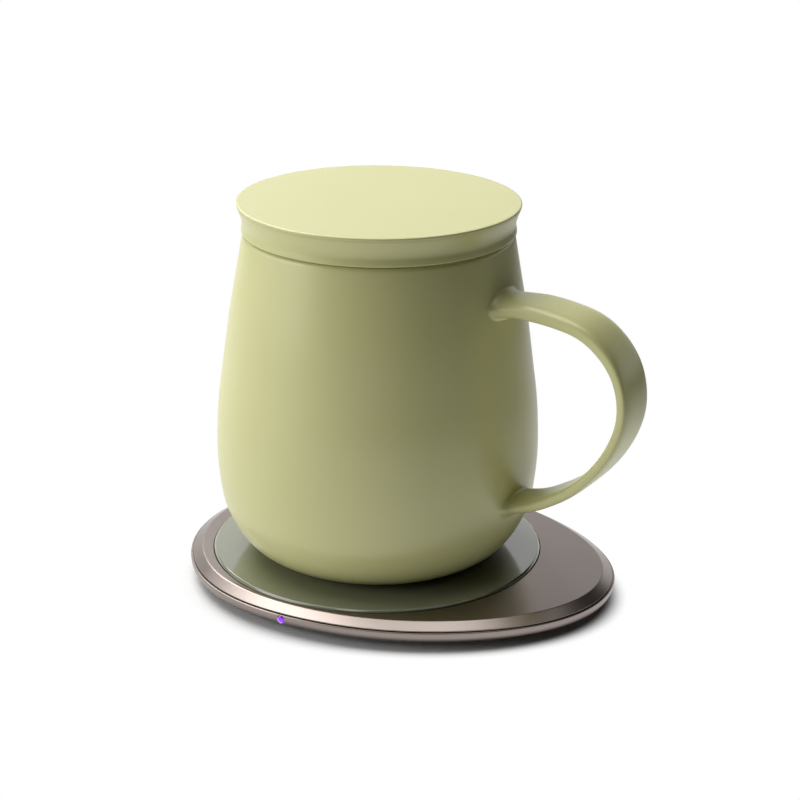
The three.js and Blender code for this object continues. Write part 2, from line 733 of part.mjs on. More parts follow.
screwPlaces.forEach((place, number) => {
  addPiece(warmer, `cover_screw_${number + 1}`, makeScrew(place), brightSteel);
});

// Mug profile: one smooth curve from the foot's edge to the rim
const outerCurve = new THREE.CatmullRomCurve3([
  ...bowlShares.map(([across, up]) => new THREE.Vector3(
    mugFootRadius + across * (mugBellyRadius - mugFootRadius), up * mugBellyHeight, 0)),
  ...shoulderShares.map(([across, up]) => new THREE.Vector3(
    mugRimRadius + across * (mugBellyRadius - mugRimRadius),
    mugBellyHeight + up * (mugHeight - mugBellyHeight), 0)),
], false, 'centripetal');

// Outer radius of the mug at a height, found by halving the span of the curve
function mugRadiusAt(height) {
  let low = 0;
  let high = 1;
  for (let halving = 0; halving < heightHalvings; halving += 1) {
    const middle = (low + high) / 2;
    if (outerCurve.getPoint(middle).y < height) low = middle;
    else high = middle;
  }
  return outerCurve.getPoint(low).x;
}

function makeMugShell() {
  const outer = [];
  for (let step = 0; step <= profileSteps; step += 1) {
    const point = outerCurve.getPoint(step / profileSteps);
    if (point.y <= mugHeight - rimRound) outer.push([point.x, point.y]);
  }
  const floorHeight = baseRecessDepth + mugFloor;
  const cornerHeight = floorHeight + floorCorner;
  const inner = [];
  for (let step = 0; step < innerSteps; step += 1) {
    const height = mugHeight - rimRound + (step / innerSteps) * (cornerHeight - mugHeight + rimRound);
    inner.push([mugRadiusAt(height) - mugWall, height]);
  }
  const cornerRadius = mugRadiusAt(cornerHeight) - mugWall;
  return turned([
    [0, baseRecessDepth],
    [baseRecessRadius, baseRecessDepth],
    [baseRecessRadius, 0],
    ...outer,
    [mugRimRadius - rimRound * cornerShare, mugHeight - rimRound * cornerShare],
    [mugRimRadius - rimRound, mugHeight],
    [mugRimRadius - mugWall + rimRound, mugHeight],
    [mugRimRadius - mugWall + rimRound * cornerShare, mugHeight - rimRound * cornerShare],
    ...inner,
    [cornerRadius, cornerHeight],
    [cornerRadius - floorCorner * cornerShare, floorHeight + floorCorner * cornerShare],
    [cornerRadius - floorCorner, floorHeight],
    [0, floorHeight],
  ]);
}

// Handle: an oval section carried along a curve. Near each root its steps crowd together, its
// section turns to stand parallel to the wall, and it flares into the wall.
function makeHandle() {
  const reach = handleReach - mugRadiusAt(handleTopHeight);
  const rise = handleTopHeight - handleFootHeight;
  const route = new THREE.CatmullRomCurve3(handleShares.map(([out, up]) => {
    const height = handleFootHeight + up * rise;
    const wall = out === 0 ? mugRadiusAt(height) - handleRootDepth : mugRadiusAt(handleTopHeight);
    return new THREE.Vector3(wall + out * reach, 0, height);
  }), false, 'centripetal');
  const [widths, thicknesses] = [handleWidths, handleThicknesses].map((sizes) => (
    new THREE.CatmullRomCurve3(sizes.map((size, index) => new THREE.Vector3(size, index, 0)))));
  const length = route.getLength();
  const positions = [];
  const index = [];
  for (let step = 0; step <= handleSteps; step += 1) {
    const even = step / handleSteps;
    const share = even - (rootCrowdShare * Math.sin(2 * Math.PI * even)) / (2 * Math.PI);
    const centre = route.getPointAt(share);
    const fromRoot = Math.max(0, Math.min(share, 1 - share) * length - handleRootDepth);
    const outward = new THREE.Vector3(share < 1 / 2 ? 1 : -1, 0, 0);
    const turnedIn = Math.max(0, 1 - fromRoot / rootTurnLength) ** 2;
    const tangent = route.getTangentAt(share).lerp(outward, turnedIn).normalize();
    const flare = rootFlare * Math.max(0, 1 - fromRoot / rootFlareLength) ** 2;
    const halfWidth = widths.getPoint(share).x / 2 + flare;
    const halfThickness = thicknesses.getPoint(share).x / 2 + flare;
    for (let side = 0; side < handleSides; side += 1) {
      const turn = (2 * Math.PI * side) / handleSides;
      const across = halfThickness * Math.sin(turn);
      const along = halfWidth * Math.cos(turn);
      positions.push(centre.x - tangent.z * across, along, centre.z + tangent.x * across);
    }
  }
  for (let step = 0; step < handleSteps; step += 1) {
    for (let side = 0; side < handleSides; side += 1) {
      const here = step * handleSides + side;
      const beside = step * handleSides + (side + 1) % handleSides;
      index.push(here, beside + handleSides, here + handleSides, here, beside, beside + handleSides);
    }
  }
  const last = handleSteps * handleSides;
  for (let side = 1; side < handleSides - 1; side += 1) {
    index.push(0, side + 1, side, last, last + side, last + side + 1);
  }
  const geometry = new THREE.BufferGeometry();
  geometry.setAttribute('position', new THREE.Float32BufferAttribute(positions, 3));
  geometry.setIndex(index);
  return toSolid(geometry);
}

addPiece(mug, 'mug_body', toSolid(makeMugShell()).add(makeHandle()), glazedCeramic);
addPiece(mug, 'mug_base_cover', disc(baseRecessRadius - slideGap, baseCoverLow,
  baseCoverLow + baseCoverThickness), glazedCeramic);
addPiece(mug, 'mug_base_sheet', disc(baseRecessRadius - slideGap * 2, baseSheetLow,
  baseSheetLow + baseSheetThickness, hiddenSteps), micaSheet);
addPiece(mug, 'heating_film', disc(baseRecessRadius - heatingFilmMargin, heatingFilmLow,
  heatingFilmLow + heatingFilmThickness, hiddenSteps), heaterFoil);

function makeLid() {
  const side = lidSideShares.map(([out, up]) => (
    [lidWaistRadius + out * (lidEdgeRadius - lidWaistRadius), up * lidHeight]));
  const grooveRadius = lidPlugRadius - sealGroove;
  const cavityTop = lidHeight - lidTopThickness;
  const cavityRadius = lidPlugRadius - lidPlugWall;
  return turned([
    [0, cavityTop],
    [cavityRadius, cavityTop],
    [cavityRadius, -lidPlugDepth],
    [lidPlugRadius - edgeRound, -lidPlugDepth],
    [lidPlugRadius, -lidPlugDepth + edgeRound],
    [lidPlugRadius, -sealSeat - sealHeight],
    [grooveRadius, -sealSeat - sealHeight],
    [grooveRadius, -sealSeat],
    [lidPlugRadius, -sealSeat],
    [lidPlugRadius, 0],
    [mugRimRadius - seatGap, 0],
    ...lidBeadShares.map((share) => [lidBeadRadius, share * lidEdgeRound]),
    ...side,
    [lidEdgeRadius - lidEdgeRound * cornerShare, lidHeight - lidEdgeRound * cornerShare],
    [lidEdgeRadius - lidEdgeRound, lidHeight],
    [0, lidHeight],
  ]);
}

function makeLidSeal() {
  const low = -sealSeat - sealHeight + seatGap;
  const high = -sealSeat - seatGap;
  const inner = lidPlugRadius - sealGroove + seatGap;
  const rise = high - low;
  const fins = finShares.map(([out, up]) => [sealWaist + out * (sealReach - sealWaist), low + up * rise]);
  return turned([[inner, low], ...fins, [inner, high], [inner, low]]);
}

addPiece(lid, 'lid_body', makeLid(), glazedCeramic);
addPiece(lid, 'lid_seal', makeLidSeal(), clearSilicone);

export default part;
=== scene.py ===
import math

import bmesh
import bpy
import numpy as np
from mathutils import Matrix, Vector


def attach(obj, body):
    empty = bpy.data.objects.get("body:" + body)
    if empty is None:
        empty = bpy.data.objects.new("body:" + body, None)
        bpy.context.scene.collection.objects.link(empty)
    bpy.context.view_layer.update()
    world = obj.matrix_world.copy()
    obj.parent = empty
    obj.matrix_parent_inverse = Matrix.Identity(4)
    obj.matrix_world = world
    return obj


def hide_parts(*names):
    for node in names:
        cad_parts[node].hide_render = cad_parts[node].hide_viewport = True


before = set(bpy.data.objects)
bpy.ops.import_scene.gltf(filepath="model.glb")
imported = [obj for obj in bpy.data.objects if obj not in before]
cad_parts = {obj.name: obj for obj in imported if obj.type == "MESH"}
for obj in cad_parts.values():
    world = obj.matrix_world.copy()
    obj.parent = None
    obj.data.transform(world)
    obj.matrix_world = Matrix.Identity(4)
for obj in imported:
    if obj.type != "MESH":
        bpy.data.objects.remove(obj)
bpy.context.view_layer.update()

MM = 0.001
TURNED_COLUMNS = 256
PAD_COLUMNS = 320
# Lengths below this count as none
TINY = 1e-6
# Points of a mesh that are nearer than this, in metres, are merged
MERGE_REACH = 2e-7
# Guard points stand this many roundings from a corner and keep the flats beside it evenly shaded
GUARD = 1.6
# Edges that turn by more degrees than this stay sharp
SHARP_TURN = 40
BAND_SHARP_TURN = 32

# Heights of the pad's layers, from the table up
FOOT_TOP = 0.9
BASE_UNDER = 1.0
BAND_BOTTOM = 2.45
BAND_TOP = 5.85
COVER_UNDER = 6.15
SKIN_UNDER = 6.9
PAD_TOP = 8.0
PLATE_TOP = 8.7
MUG_BASE = 8.8
LID_BASE = 104.1

# The pad's outline: its reach from the plate's axis, every 30 degrees from the tip to the heel
PAD_REACHES = (71.65, 64, 55.1, 51.8, 53.1, 54.3, 55.05)
PLATE_RADIUS = 48
PLATE_HOLE = 48.2
# An inset past CIRCLE_MARK stands for a circle about the plate's axis, AXIS_MARK less the inset
CIRCLE_MARK = 10
AXIS_MARK = 70

# Top cover: where its chamfer starts and how wide it is, and where its edge meets its thin skin
CHAMFER_FOOT = 6.25
CHAMFER_WIDTH = 2.9
COVER_EDGE = 1.2
COVER_SKIN = 3.2

# Side band: its outer side swells out from its foot and stands upright under its top corner.
# Points are [inset, height], and corners have their rounding as a third value
BAND_LEAN = 0.75
BAND_BULGE = 0.57
BAND_WALL = 1.2
BAND_SIDE = ((BAND_LEAN, BAND_BOTTOM + 0.15), (0.36, 2.9), (0, 3.35), (-0.34, 4.0), (-0.52, 4.7),
             (-BAND_BULGE, 5.35))
BAND_UNDER = ((3.1, BAND_BOTTOM, 0), (BAND_LEAN + 0.1, BAND_BOTTOM, 0.15))
BAND_INNER = ((BAND_WALL, BAND_TOP, 0.05), (BAND_WALL, 4.7, 0.05), (2.7, 3.6, 0.05), (3.1, 2.6, 0.05))
BAND_SIDE_STEPS = 30

# Seam seal, plate, bottom cover and foot, as corners like the band's
SEAM_SEAL = ((0.85, 5.87, 0.03), (0.85, 6.13, 0.03), (1.3, 6.13, 0.03), (1.3, 5.87, 0.03))
PLATE = ((0, SKIN_UNDER, 0), (PLATE_RADIUS - 0.3, SKIN_UNDER, 0.1), (PLATE_RADIUS, SKIN_UNDER + 0.3, 0.1),
         (PLATE_RADIUS, PLATE_TOP - 0.42, 0.12), (PLATE_RADIUS - 0.5, PLATE_TOP, 0.14), (0, PLATE_TOP, 0))
BASE = ((AXIS_MARK, BASE_UNDER, 0), (5.6, BASE_UNDER, 0.2), (3.2, 1.65, 0.3), (3.1, 2.35, 0.1),
        (4.6, 2.35, 0.1), (4.7, 2.2, 0.1), (AXIS_MARK, 2.2, 0))
FOOT = ((AXIS_MARK, 0.25, 0), (8.6, 0.25, 0.1), (8.4, 0.0, 0.1), (6.9, 0, 0.15), (6.6, 0.3, 0.12),
        (6.6, FOOT_TOP, 0.1), (AXIS_MARK, FOOT_TOP, 0))

# Status light: its lens is a rod with a slight dome, as [radius, distance in, rounding] corners.
# It has LENS_GAP of play in its hole, which is cut between the distances LENS_HOLE
LENS_ANGLE = math.radians(-95)
LENS_RADIUS = 1.2
LENS_HEIGHT = 4.5
LENS_GAP = 0.06
LENS_REAR = 5.4
LENS_ROD = ((0, -0.72, 0), (LENS_RADIUS * 0.62, -0.68, 0.3), (LENS_RADIUS, -0.35, 0.2),
            (LENS_RADIUS, LENS_REAR, 0.1), (0, LENS_REAR, 0))
LENS_HOLE = (-2, 5)

# Power socket: SOCKET_SINK is its step behind the band's inner wall, SOCKET_LIP is how much
# narrower than its inside the band's mouth is, and MOUTH_CUT is how far in and out that is cut
SOCKET_WIDTH = 8.9
SOCKET_HEIGHT = 3.0
SOCKET_DEPTH = 7.2
SOCKET_WALL = 0.2
SOCKET_MIDDLE = 4.27
SOCKET_SINK = 0.15
SOCKET_LIP = 0.1
MOUTH_CUT = (3, 4)

# Mug
MUG_HEIGHT = 95
FOOT_RADIUS = 31.2
BELLY_RADIUS = 46.45
BELLY_HEIGHT = 31
RIM_RADIUS = 38.2
WALL = 3.8
RIM_ROUND = 1.3
RIM_START = MUG_HEIGHT - RIM_ROUND * 2
RECESS_RADIUS = 27.4
RECESS_DEPTH = 2.7
FOOT_ROUND = 0.5
FOOT_FLAT_END = 30.9
BISCUIT_HEIGHTS = (0.25, 0.45)
SIDE_STEPS = 150
INSIDE_STEPS = 60
# The inner wall ends at this height, and slants in by FLOOR_DRAFT down to the floor's corner
INSIDE_END = 12.3
FLOOR_DRAFT = 0.8
FLOOR_TOP = 6.3
FLOOR_ROUND = 4.2
HANDLE_TURN = math.radians(-5.5)
# Base disc with a shallow groove round its underside, as [radius, height, rounding] corners
BASE_DISC = ((0, 0.3, 0), (20, 0.3, 0.2), (20.6, 0.6, 0.2), (21.8, 0.6, 0.2), (22.4, 0.3, 0.2),
             (27.2, 0.3, 0.4), (27.2, 1.4, 0.2), (0, 1.4, 0))

# Lid, with heights from its ledge, which lies just over the mug's rim
LID_HEIGHT = 8.3
LID_EDGE = 40.13
LID_EDGE_ROUND = 0.75
LID_PLUG = 32.8
LID_DEPTH = 9
LID_CAVITY = 28.5
LID_CEILING = 3.9
LID_GROOVE = 31.6
LID_GROOVE_HEIGHTS = (-6.4, -3.4)
LID_LEDGE = 38.0
LID_BEAD = 38.72
# The lid's waisted side, from its bead up to its edge, as [radius, height] points
LID_SIDE = ((38.6, 1.0), (38.42, 2.2), (38.5, 3.3), (38.76, 4.4), (39.1, 5.4), (39.47, 6.4), (39.8, 7.3))
LID_SIDE_STEPS = 40
# Seal: a band in the plug's groove with two soft fins, as [radius, height, rounding] corners
SEAL_FINS = ((31.7, -6.3, 0), (32.9, -6.3, 0.2), (34.15, -5.85, 0.12), (33.1, -5.1, 0.3),
             (33.1, -4.85, 0.3), (34.15, -4.35, 0.12), (32.9, -3.5, 0.2), (31.7, -3.5, 0))


def rounded(corners, steps=7):
    """Path through [x, z, rounding] corners. Each corner B becomes the curve
    (1-t)^2 A + 2t(1-t) B + t^2 C, where A and C lie a rounding away from B on either side, with
    a guard point beyond each."""
    corners = np.array(corners, float)
    point, reach = corners[:, :2], corners[:, 2:]

    def towards(other, distance):
        span = other - point
        return point + span / np.maximum(np.linalg.norm(span, axis=1, keepdims=True), TINY) * distance

    before, after = np.roll(point, 1, axis=0), np.roll(point, -1, axis=0)
    t = np.linspace(0, 1, steps)[None, :, None]
    start, end = towards(before, reach)[:, None], towards(after, reach)[:, None]
    arcs = (1 - t) ** 2 * start + 2 * t * (1 - t) * point[:, None] + t ** 2 * end
    guards = (towards(before, reach * GUARD)[:, None], towards(after, reach * GUARD)[:, None])
    return tidy(np.concatenate([guards[0], arcs, guards[1]], axis=1).reshape(-1, 2))


def tidy(path):
    """The path without points that repeat the one before."""
    step = np.linalg.norm(np.diff(path, axis=0), axis=1)
    return path[np.concatenate([[True], step > TINY])]


def flowing(points, samples=24, smooth=0.0):
    """Smooth curve through points: a cubic between each pair, whose end slopes come from the
    neighbours weighted by the root of their distance. smooth evens it out over so many mm."""
    points = np.array(points, float)
    ends = (2 * points[:1] - points[1:2], 2 * points[-1:] - points[-2:-1])
    chain = np.concatenate([ends[0], points, ends[1]])
    gap = np.sqrt(np.maximum(np.linalg.norm(np.diff(chain, axis=0), axis=1), TINY))[:, None]
    rate = np.diff(chain, axis=0) / gap
    both = (chain[2:] - chain[:-2]) / (gap[:-1] + gap[1:])
    slope = rate[:-1] - both + rate[1:]
    span = gap[1:-1]
    start, end = points[:-1, None], points[1:, None]
    first, last = (slope[:-1] * span)[:, None], (slope[1:] * span)[:, None]
    t = np.linspace(0, 1, samples, endpoint=False)[None, :, None]
    curve = start + first * t + (3 * (end - start) - 2 * first - last) * t ** 2
    curve = curve + (2 * (start - end) + first + last) * t ** 3
    curve = np.concatenate([curve.reshape(-1, points.shape[1]), points[-1:]])
    return evened(curve, smooth) if smooth else curve


def along(path, count):
    """The path sampled at even lengths."""
    length = np.concatenate([[0], np.cumsum(np.linalg.norm(np.diff(path, axis=0), axis=1))])
    where = np.linspace(0, length[-1], count)
    return np.stack([np.interp(where, length, column) for column in path.T], axis=1)


def evened(path, spread):
    """The path with each point replaced by the bell-weighted mean of its neighbours within
    three spreads, mirrored through the two ends so that they stay where they are."""
    length = np.linalg.norm(np.diff(path, axis=0), axis=1).sum()
    count = 600
    path = along(path, count)
    reach = max(1, int(round(3 * spread / length * (count - 1))))
    head = 2 * path[:1] - path[reach:0:-1]
    tail = 2 * path[-1:] - path[-2:-reach - 2:-1]
    long = np.concatenate([head, path, tail])
    weight = np.exp(-0.5 * (np.arange(-reach, reach + 1) / reach * 3) ** 2)
    weight = weight / weight.sum()
    return np.stack([np.convolve(column, weight, mode="valid") for column in long.T], axis=1)


def turned(path, columns=TURNED_COLUMNS):
    """A [radius, height] path turned about the upright axis: x = r cos a, y = r sin a."""
    angle = np.linspace(0, 2 * np.pi, columns, endpoint=False)
    radius, height = path[:, :1], path[:, 1:2]
    return np.stack([radius * np.cos(angle), radius * np.sin(angle), height + 0 * angle], axis=-1)


def outline(angle, inset=0.0):
    """Point of the pad's outline. Its reach at angle a is the sum of cosines, c0 + c1 cos a
    + c2 cos 2a + ..., that passes through the reaches; inset moves it in along its normal."""
    spans = len(PAD_REACHES) - 1
    wave = np.arange(spans + 1)
    halves = np.where((wave == 0) | (wave == spans), 0.5, 1.0)
    table = np.cos(np.pi * np.outer(wave, wave) / spans)
    sizes = 2 * halves * (table @ (halves * np.array(PAD_REACHES))) / spans
    angle = np.asarray(angle, float)[..., None]
    reach = (sizes * np.cos(wave * angle)).sum(axis=-1, keepdims=True)
    slope = (-sizes * wave * np.sin(wave * angle)).sum(axis=-1, keepdims=True)
    outward = np.concatenate([np.cos(angle), np.sin(angle)], axis=-1)
    across = np.concatenate([-np.sin(angle), np.cos(angle)], axis=-1)
    normal = reach * outward - slope * across
    normal = normal / np.linalg.norm(normal, axis=-1, keepdims=True)
    return reach * outward - np.asarray(inset)[..., None] * normal


def pad_rings(path, columns=PAD_COLUMNS):
    """An [inset, height] path carried round the pad's outline. An inset over CIRCLE_MARK stands
    for a circle about the plate's axis instead, of radius AXIS_MARK less the inset."""
    angle = np.linspace(0, 2 * np.pi, columns, endpoint=False)[None, :] + 0 * path[:, :1]
    inset = path[:, :1] + 0 * angle
    flat = outline(angle, inset)
    circle = (AXIS_MARK - inset)[..., None] * np.stack([np.cos(angle), np.sin(angle)], axis=-1)
    flat = np.where(inset[..., None] > CIRCLE_MARK, circle, flat)
    return np.concatenate([flat, (path[:, 1:2] + 0 * angle)[..., None]], axis=-1)


def quads(rows, columns, loop, first):
    """Four corners of every cell of a grid that closes on itself across its columns, and with
    loop also across its rows."""
    row = np.arange(rows if loop else rows - 1)[:, None]
    column = np.arange(columns)[None, :]
    beside, above = (column + 1) % columns, (row + 1) % rows
    cells = (row * columns + column, row * columns + beside, above * columns + beside,
             above * columns + column)
    return np.stack(cells, axis=-1).reshape(-1, 4) + first


def closed_mesh(name, grids):
    """One mesh out of grids of points, each with a mark for a closed section. Points that
    fall together at poles are merged, and every face is turned outwards."""
    points, faces, first = [], [], 0
    for grid, loop in grids:
        points.append(grid.reshape(-1, 3) * MM)
        faces.append(quads(grid.shape[0], grid.shape[1], loop, first))
        first += grid.shape[0] * grid.shape[1]
    mesh = bpy.data.meshes.new(name)
    mesh.from_pydata(np.concatenate(points).tolist(), [], np.concatenate(faces).tolist())
    work = bmesh.new()
    work.from_mesh(mesh)
    bmesh.ops.remove_doubles(work, verts=work.verts, dist=MERGE_REACH)
    bmesh.ops.recalc_face_normals(work, faces=work.faces)
    work.to_mesh(mesh)
    work.free()
    return mesh


def put_in_scene(name, data):
    """A new object in the scene, at the origin and unturned."""
    thing = bpy.data.objects.new(name, data)
    bpy.context.scene.collection.objects.link(thing)
    return thing


def make_piece(name, body, material, node, grids, cutters=(), sharp=SHARP_TURN):
    """A finished piece: its mesh less what the cutters fill, smooth but for its sharp edges,
    with its material, riding on its body in place of the CAD node."""
    piece = put_in_scene(name, closed_mesh(name, grids))
    if cutters:
        piece.data = cut(piece, cutters)
    mesh = piece.data
    mesh.shade_smooth()
    mesh.set_sharp_from_angle(angle=math.radians(sharp))
    mesh.materials.clear()
    mesh.materials.append(material)
    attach(piece, body)
    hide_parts(node)


def cut(piece, cutters):
    """The piece's mesh less what the cutters fill; the cutters are removed."""
    for cutter in cutters:
        change = piece.modifiers.new("cut", "BOOLEAN")
        change.object = cutter
        change.operation = "DIFFERENCE"
        change.solver = "EXACT"
    mesh = bpy.data.meshes.new_from_object(piece.evaluated_get(bpy.context.evaluated_depsgraph_get()))
    piece.modifiers.clear()
    for cutter in cutters:
        bpy.data.objects.remove(cutter)
    return mesh


def add(tree, kind, values=None, links=None):
    """Adds one node: values sets its settings and input values, links joins its inputs. Inputs
    go by name, or by number where a node has several of one name."""
    made = tree.nodes.new("ShaderNode" + kind)
    for key, value in (values or {}).items():
        if isinstance(key, str) and hasattr(made, key):
            setattr(made, key, value)
        else:
            made.inputs[key].default_value = value
    for key, socket in (links or {}).items():
        tree.links.new(socket, made.inputs[key])
    return made


def linear(code):
    """The linear colour of an sRGB hex code: c/12.92 when dark, else ((c+0.055)/1.055)^2.4."""
    shares = [int(code[place:place + 2], 16) / 255 for place in (1, 3, 5)]
    return tuple(c / 12.92 if c <= 0.04045 else ((c + 0.055) / 1.055) ** 2.4 for c in shares) + (1,)


def start_material(name):
    """A new material, its empty tree of nodes, and the place on the object in metres."""
    material = bpy.data.materials.new(name)
    material.use_nodes = True
    tree = material.node_tree
    tree.nodes.clear()
    place = add(tree, "TexCoord").outputs["Object"]
    return material, tree, place


def finish(name, light, dark, grain_mm, rough, rough_swing=0.06, depth_mm=0.01, metal=0.0,
           mottle_mm=9.0, settings=None, patch=None):
    """A surface of one colour that drifts between two tones over mottle_mm, with a fine grain
    of grain_mm that lifts it by depth_mm and swings its roughness."""
    material, tree, place = start_material(name)
    drift = add(tree, "TexNoise", {"Scale": 1 / (mottle_mm * MM), "Detail": 3.0, "Roughness": 0.55},
                {"Vector": place})
    grain = add(tree, "TexNoise", {"Scale": 1 / (grain_mm * MM), "Detail": 2.0}, {"Vector": place})
    colour = add(tree, "Mix", {"data_type": "RGBA", 6: linear(light), 7: linear(dark)},
                 {0: drift.outputs["Fac"]}).outputs[2]
    if patch:
        colour = patch(tree, place, colour)
    shine = add(tree, "MapRange", {"From Min": 0.3, "From Max": 0.7, "To Min": rough - rough_swing,
                                   "To Max": rough + rough_swing}, {"Value": grain.outputs["Fac"]})
    bump = add(tree, "Bump", {"Strength": 1.0, "Distance": depth_mm * MM},
               {"Height": grain.outputs["Fac"]})
    values = {"Metallic": metal}
    values.update(settings or {})
    shader = add(tree, "BsdfPrincipled", values, {"Base Color": colour, "Normal": bump.outputs[0],
                                                  "Roughness": shine.outputs[0]})
    add(tree, "OutputMaterial", {}, {"Surface": shader.outputs[0]})
    return material


def bare_foot(tree, place, colour):
    """The ring that the mug was fired on is wiped free of glaze: pale biscuit, which gives way
    to glaze between two heights over the mug's foot."""
    height = add(tree, "SeparateXYZ", {}, {0: place}).outputs["Z"]
    wiped = add(tree, "MapRange", {"From Min": (MUG_BASE + BISCUIT_HEIGHTS[1]) * MM,
                                   "From Max": (MUG_BASE + BISCUIT_HEIGHTS[0]) * MM},
                {"Value": height}).outputs[0]
    return add(tree, "Mix", {"data_type": "RGBA", 7: linear("#cfc4ac")}, {0: wiped, 6: colour}).outputs[2]


# Stoneware under a matte glaze: a satin skin with a faint orange-peel of 1.6 mm
glaze = finish("matte_glazed_stoneware", "#cbca90", "#c7c689", 1.6, 0.34, 0.02, 0.004, mottle_mm=22,
               settings={"Specular IOR Level": 0.65}, patch=bare_foot)
# Bead-blasted anodised aluminium: a warm grey metal, softly blurred by 0.25 mm pits
aluminium = finish("bead_blasted_anodised_aluminium", "#938882", "#8f847e", 0.25, 0.29, 0.01, 0.003,
                   metal=1.0)
# Toughened glass, painted grey-green on its back: a clean gloss over a flat colour
glass_plate = finish("back_painted_toughened_glass", "#7a7d68", "#767964", 3.0, 0.1, 0.02, 0.0002,
                     settings={"Coat Weight": 1.0, "Coat Roughness": 0.12, "Coat IOR": 1.5})
# Moulded ABS with a fine spark-eroded texture: black, barely shiny
abs_black = finish("moulded_black_abs", "#191a1b", "#151516", 0.3, 0.55, 0.08, 0.01)
# Silicone rubber: black and dull, with moulding grain
rubber = finish("black_silicone_rubber", "#1b1b1c", "#222223", 0.5, 0.78, 0.08, 0.015)
# Food-grade silicone: milky and slightly see-through
seal_silicone = finish("milky_silicone_rubber", "#d8d8ca", "#cfcfc0", 0.8, 0.45, 0.06, 0.006,
                       settings={"Subsurface Weight": 0.3, "Subsurface Radius": (0.002, 0.002, 0.0015)})
# Nickel-plated steel: cool and bright, with a fine uneven grain
steel = finish("nickel_plated_steel", "#b9bcc0", "#aeb1b5", 0.4, 0.28, 0.08, 0.004, metal=1.0)
# Lacquered copper tape: warm, with slight tarnish
copper_tape = finish("lacquered_copper_tape", "#b4683a", "#8f4a28", 0.9, 0.34, 0.08, 0.006, metal=1.0,
                     mottle_mm=5)
# Rolled aluminium foil: silver and slightly uneven
foil = finish("rolled_aluminium_foil", "#b4b0a8", "#a19d95", 0.7, 0.33, 0.08, 0.008, metal=1.0)
# Sintered ferrite: dark grey and grainy
ferrite = finish("sintered_ferrite", "#2e2d2f", "#242325", 0.35, 0.66, 0.1, 0.02)
# Pressed mica sheet: tan, in flakes about 2 mm wide
mica = finish("pressed_mica_sheet", "#cdbf9c", "#a8966c", 0.6, 0.5, 0.15, 0.01, mottle_mm=2.2)
# Solder mask over fibreglass: a semi-gloss green, slightly uneven
board_green = finish("green_solder_mask", "#1f4a33", "#173c29", 0.5, 0.38, 0.08, 0.01, mottle_mm=3)
# Moulded epoxy: the near-black of chip packages
epoxy = finish("black_moulded_epoxy", "#1b1b1d", "#232325", 0.2, 0.48, 0.08, 0.008)
# Dipped epoxy of film capacitors: brown and semi-gloss
dipped = finish("brown_dipped_epoxy", "#7b5a3c", "#6a4a30", 0.9, 0.36, 0.08, 0.02, mottle_mm=4)


def share_points(shares, radii, heights):
    """Points given as shares of the way between two radii and between two heights."""
    shares = np.array(shares, float)
    return np.stack([radii[0] + shares[:, 0] * (radii[1] - radii[0]),
                     heights[0] + shares[:, 1] * (heights[1] - heights[0])], axis=1)


# The mug's side below its belly and above it, as shares of the way out and of the way up
BOWL_SHARES = ((0, 0), (0.1, 0.02), (0.28, 0.066), (0.47, 0.138), (0.615, 0.225), (0.76, 0.35),
               (0.885, 0.5), (0.965, 0.74), (1, 1))
SHOULDER_SHARES = ((0.93, 0.22), (0.74, 0.41), (0.49, 0.64), (0.23, 0.83), (0, 1))
bowl = share_points(BOWL_SHARES, (FOOT_RADIUS, BELLY_RADIUS), (0, BELLY_HEIGHT))
shoulder = share_points(SHOULDER_SHARES, (RIM_RADIUS, BELLY_RADIUS), (BELLY_HEIGHT, MUG_HEIGHT))
mug_side = flowing(np.concatenate([bowl, shoulder]), smooth=1.2)


def wall_radius(height):
    """Outer radius of the mug at a height over its foot."""
    return np.interp(height, mug_side[:, 1], mug_side[:, 0])


def mug_shell():
    """The mug's closed section turned round: recess, foot, side, rounded rim, inner wall, which
    is the side less the wall's thickness, and floor."""
    side = along(mug_side[mug_side[:, 1] < RIM_START], SIDE_STEPS)
    base = rounded([[0, RECESS_DEPTH, 0], [RECESS_RADIUS, RECESS_DEPTH, FOOT_ROUND],
                    [RECESS_RADIUS, 0, FOOT_ROUND], [FOOT_FLAT_END, 0, 0]])
    inner_rim = wall_radius(MUG_HEIGHT) - WALL
    rim = rounded([[wall_radius(RIM_START), RIM_START, 0], [RIM_RADIUS, MUG_HEIGHT, RIM_ROUND],
                   [inner_rim, MUG_HEIGHT, RIM_ROUND], [inner_rim, RIM_START, 0]], steps=9)
    inside_height = np.linspace(RIM_START, INSIDE_END, INSIDE_STEPS)
    inside = np.stack([wall_radius(inside_height) - WALL, inside_height], axis=1)
    last = inside[-1]
    floor = rounded([[last[0], last[1], 0], [last[0] - FLOOR_DRAFT, FLOOR_TOP, FLOOR_ROUND],
                     [0, FLOOR_TOP, 0]], steps=12)
    return turned(tidy(np.concatenate([base, side, rim, inside, floor])))


# Handle's centreline: [share of the way from the wall to the reach, share of foot-to-top height]
HANDLE_SHARES = ((0, 1), (0.178, 1.002), (0.431, 0.991), (0.708, 0.944), (0.934, 0.798), (1, 0.597),
                 (0.901, 0.399), (0.675, 0.213), (0.381, 0.086), (0, 0))
# Heights of its two ends over the foot, and how far it reaches from the mug's axis
HANDLE_TOP = 80.6
HANDLE_LOW = 20.6
HANDLE_REACH = 79.78
# Its widths and thicknesses at even steps from its upper end to its lower end
HANDLE_WIDTHS = (15.5, 15.5, 15.0, 16.5, 14.5)
HANDLE_THICKNESSES = (5.0, 4.4, 3.5, 3.3, 3.8)
HANDLE_FLATNESS = 0.48
# Its ends start this deep in the wall, and it flares by so much over so long at the wall
ROOT_SINK = 2.6
ROOT_FLARE = 1.0
ROOT_FLARE_LENGTH = 10
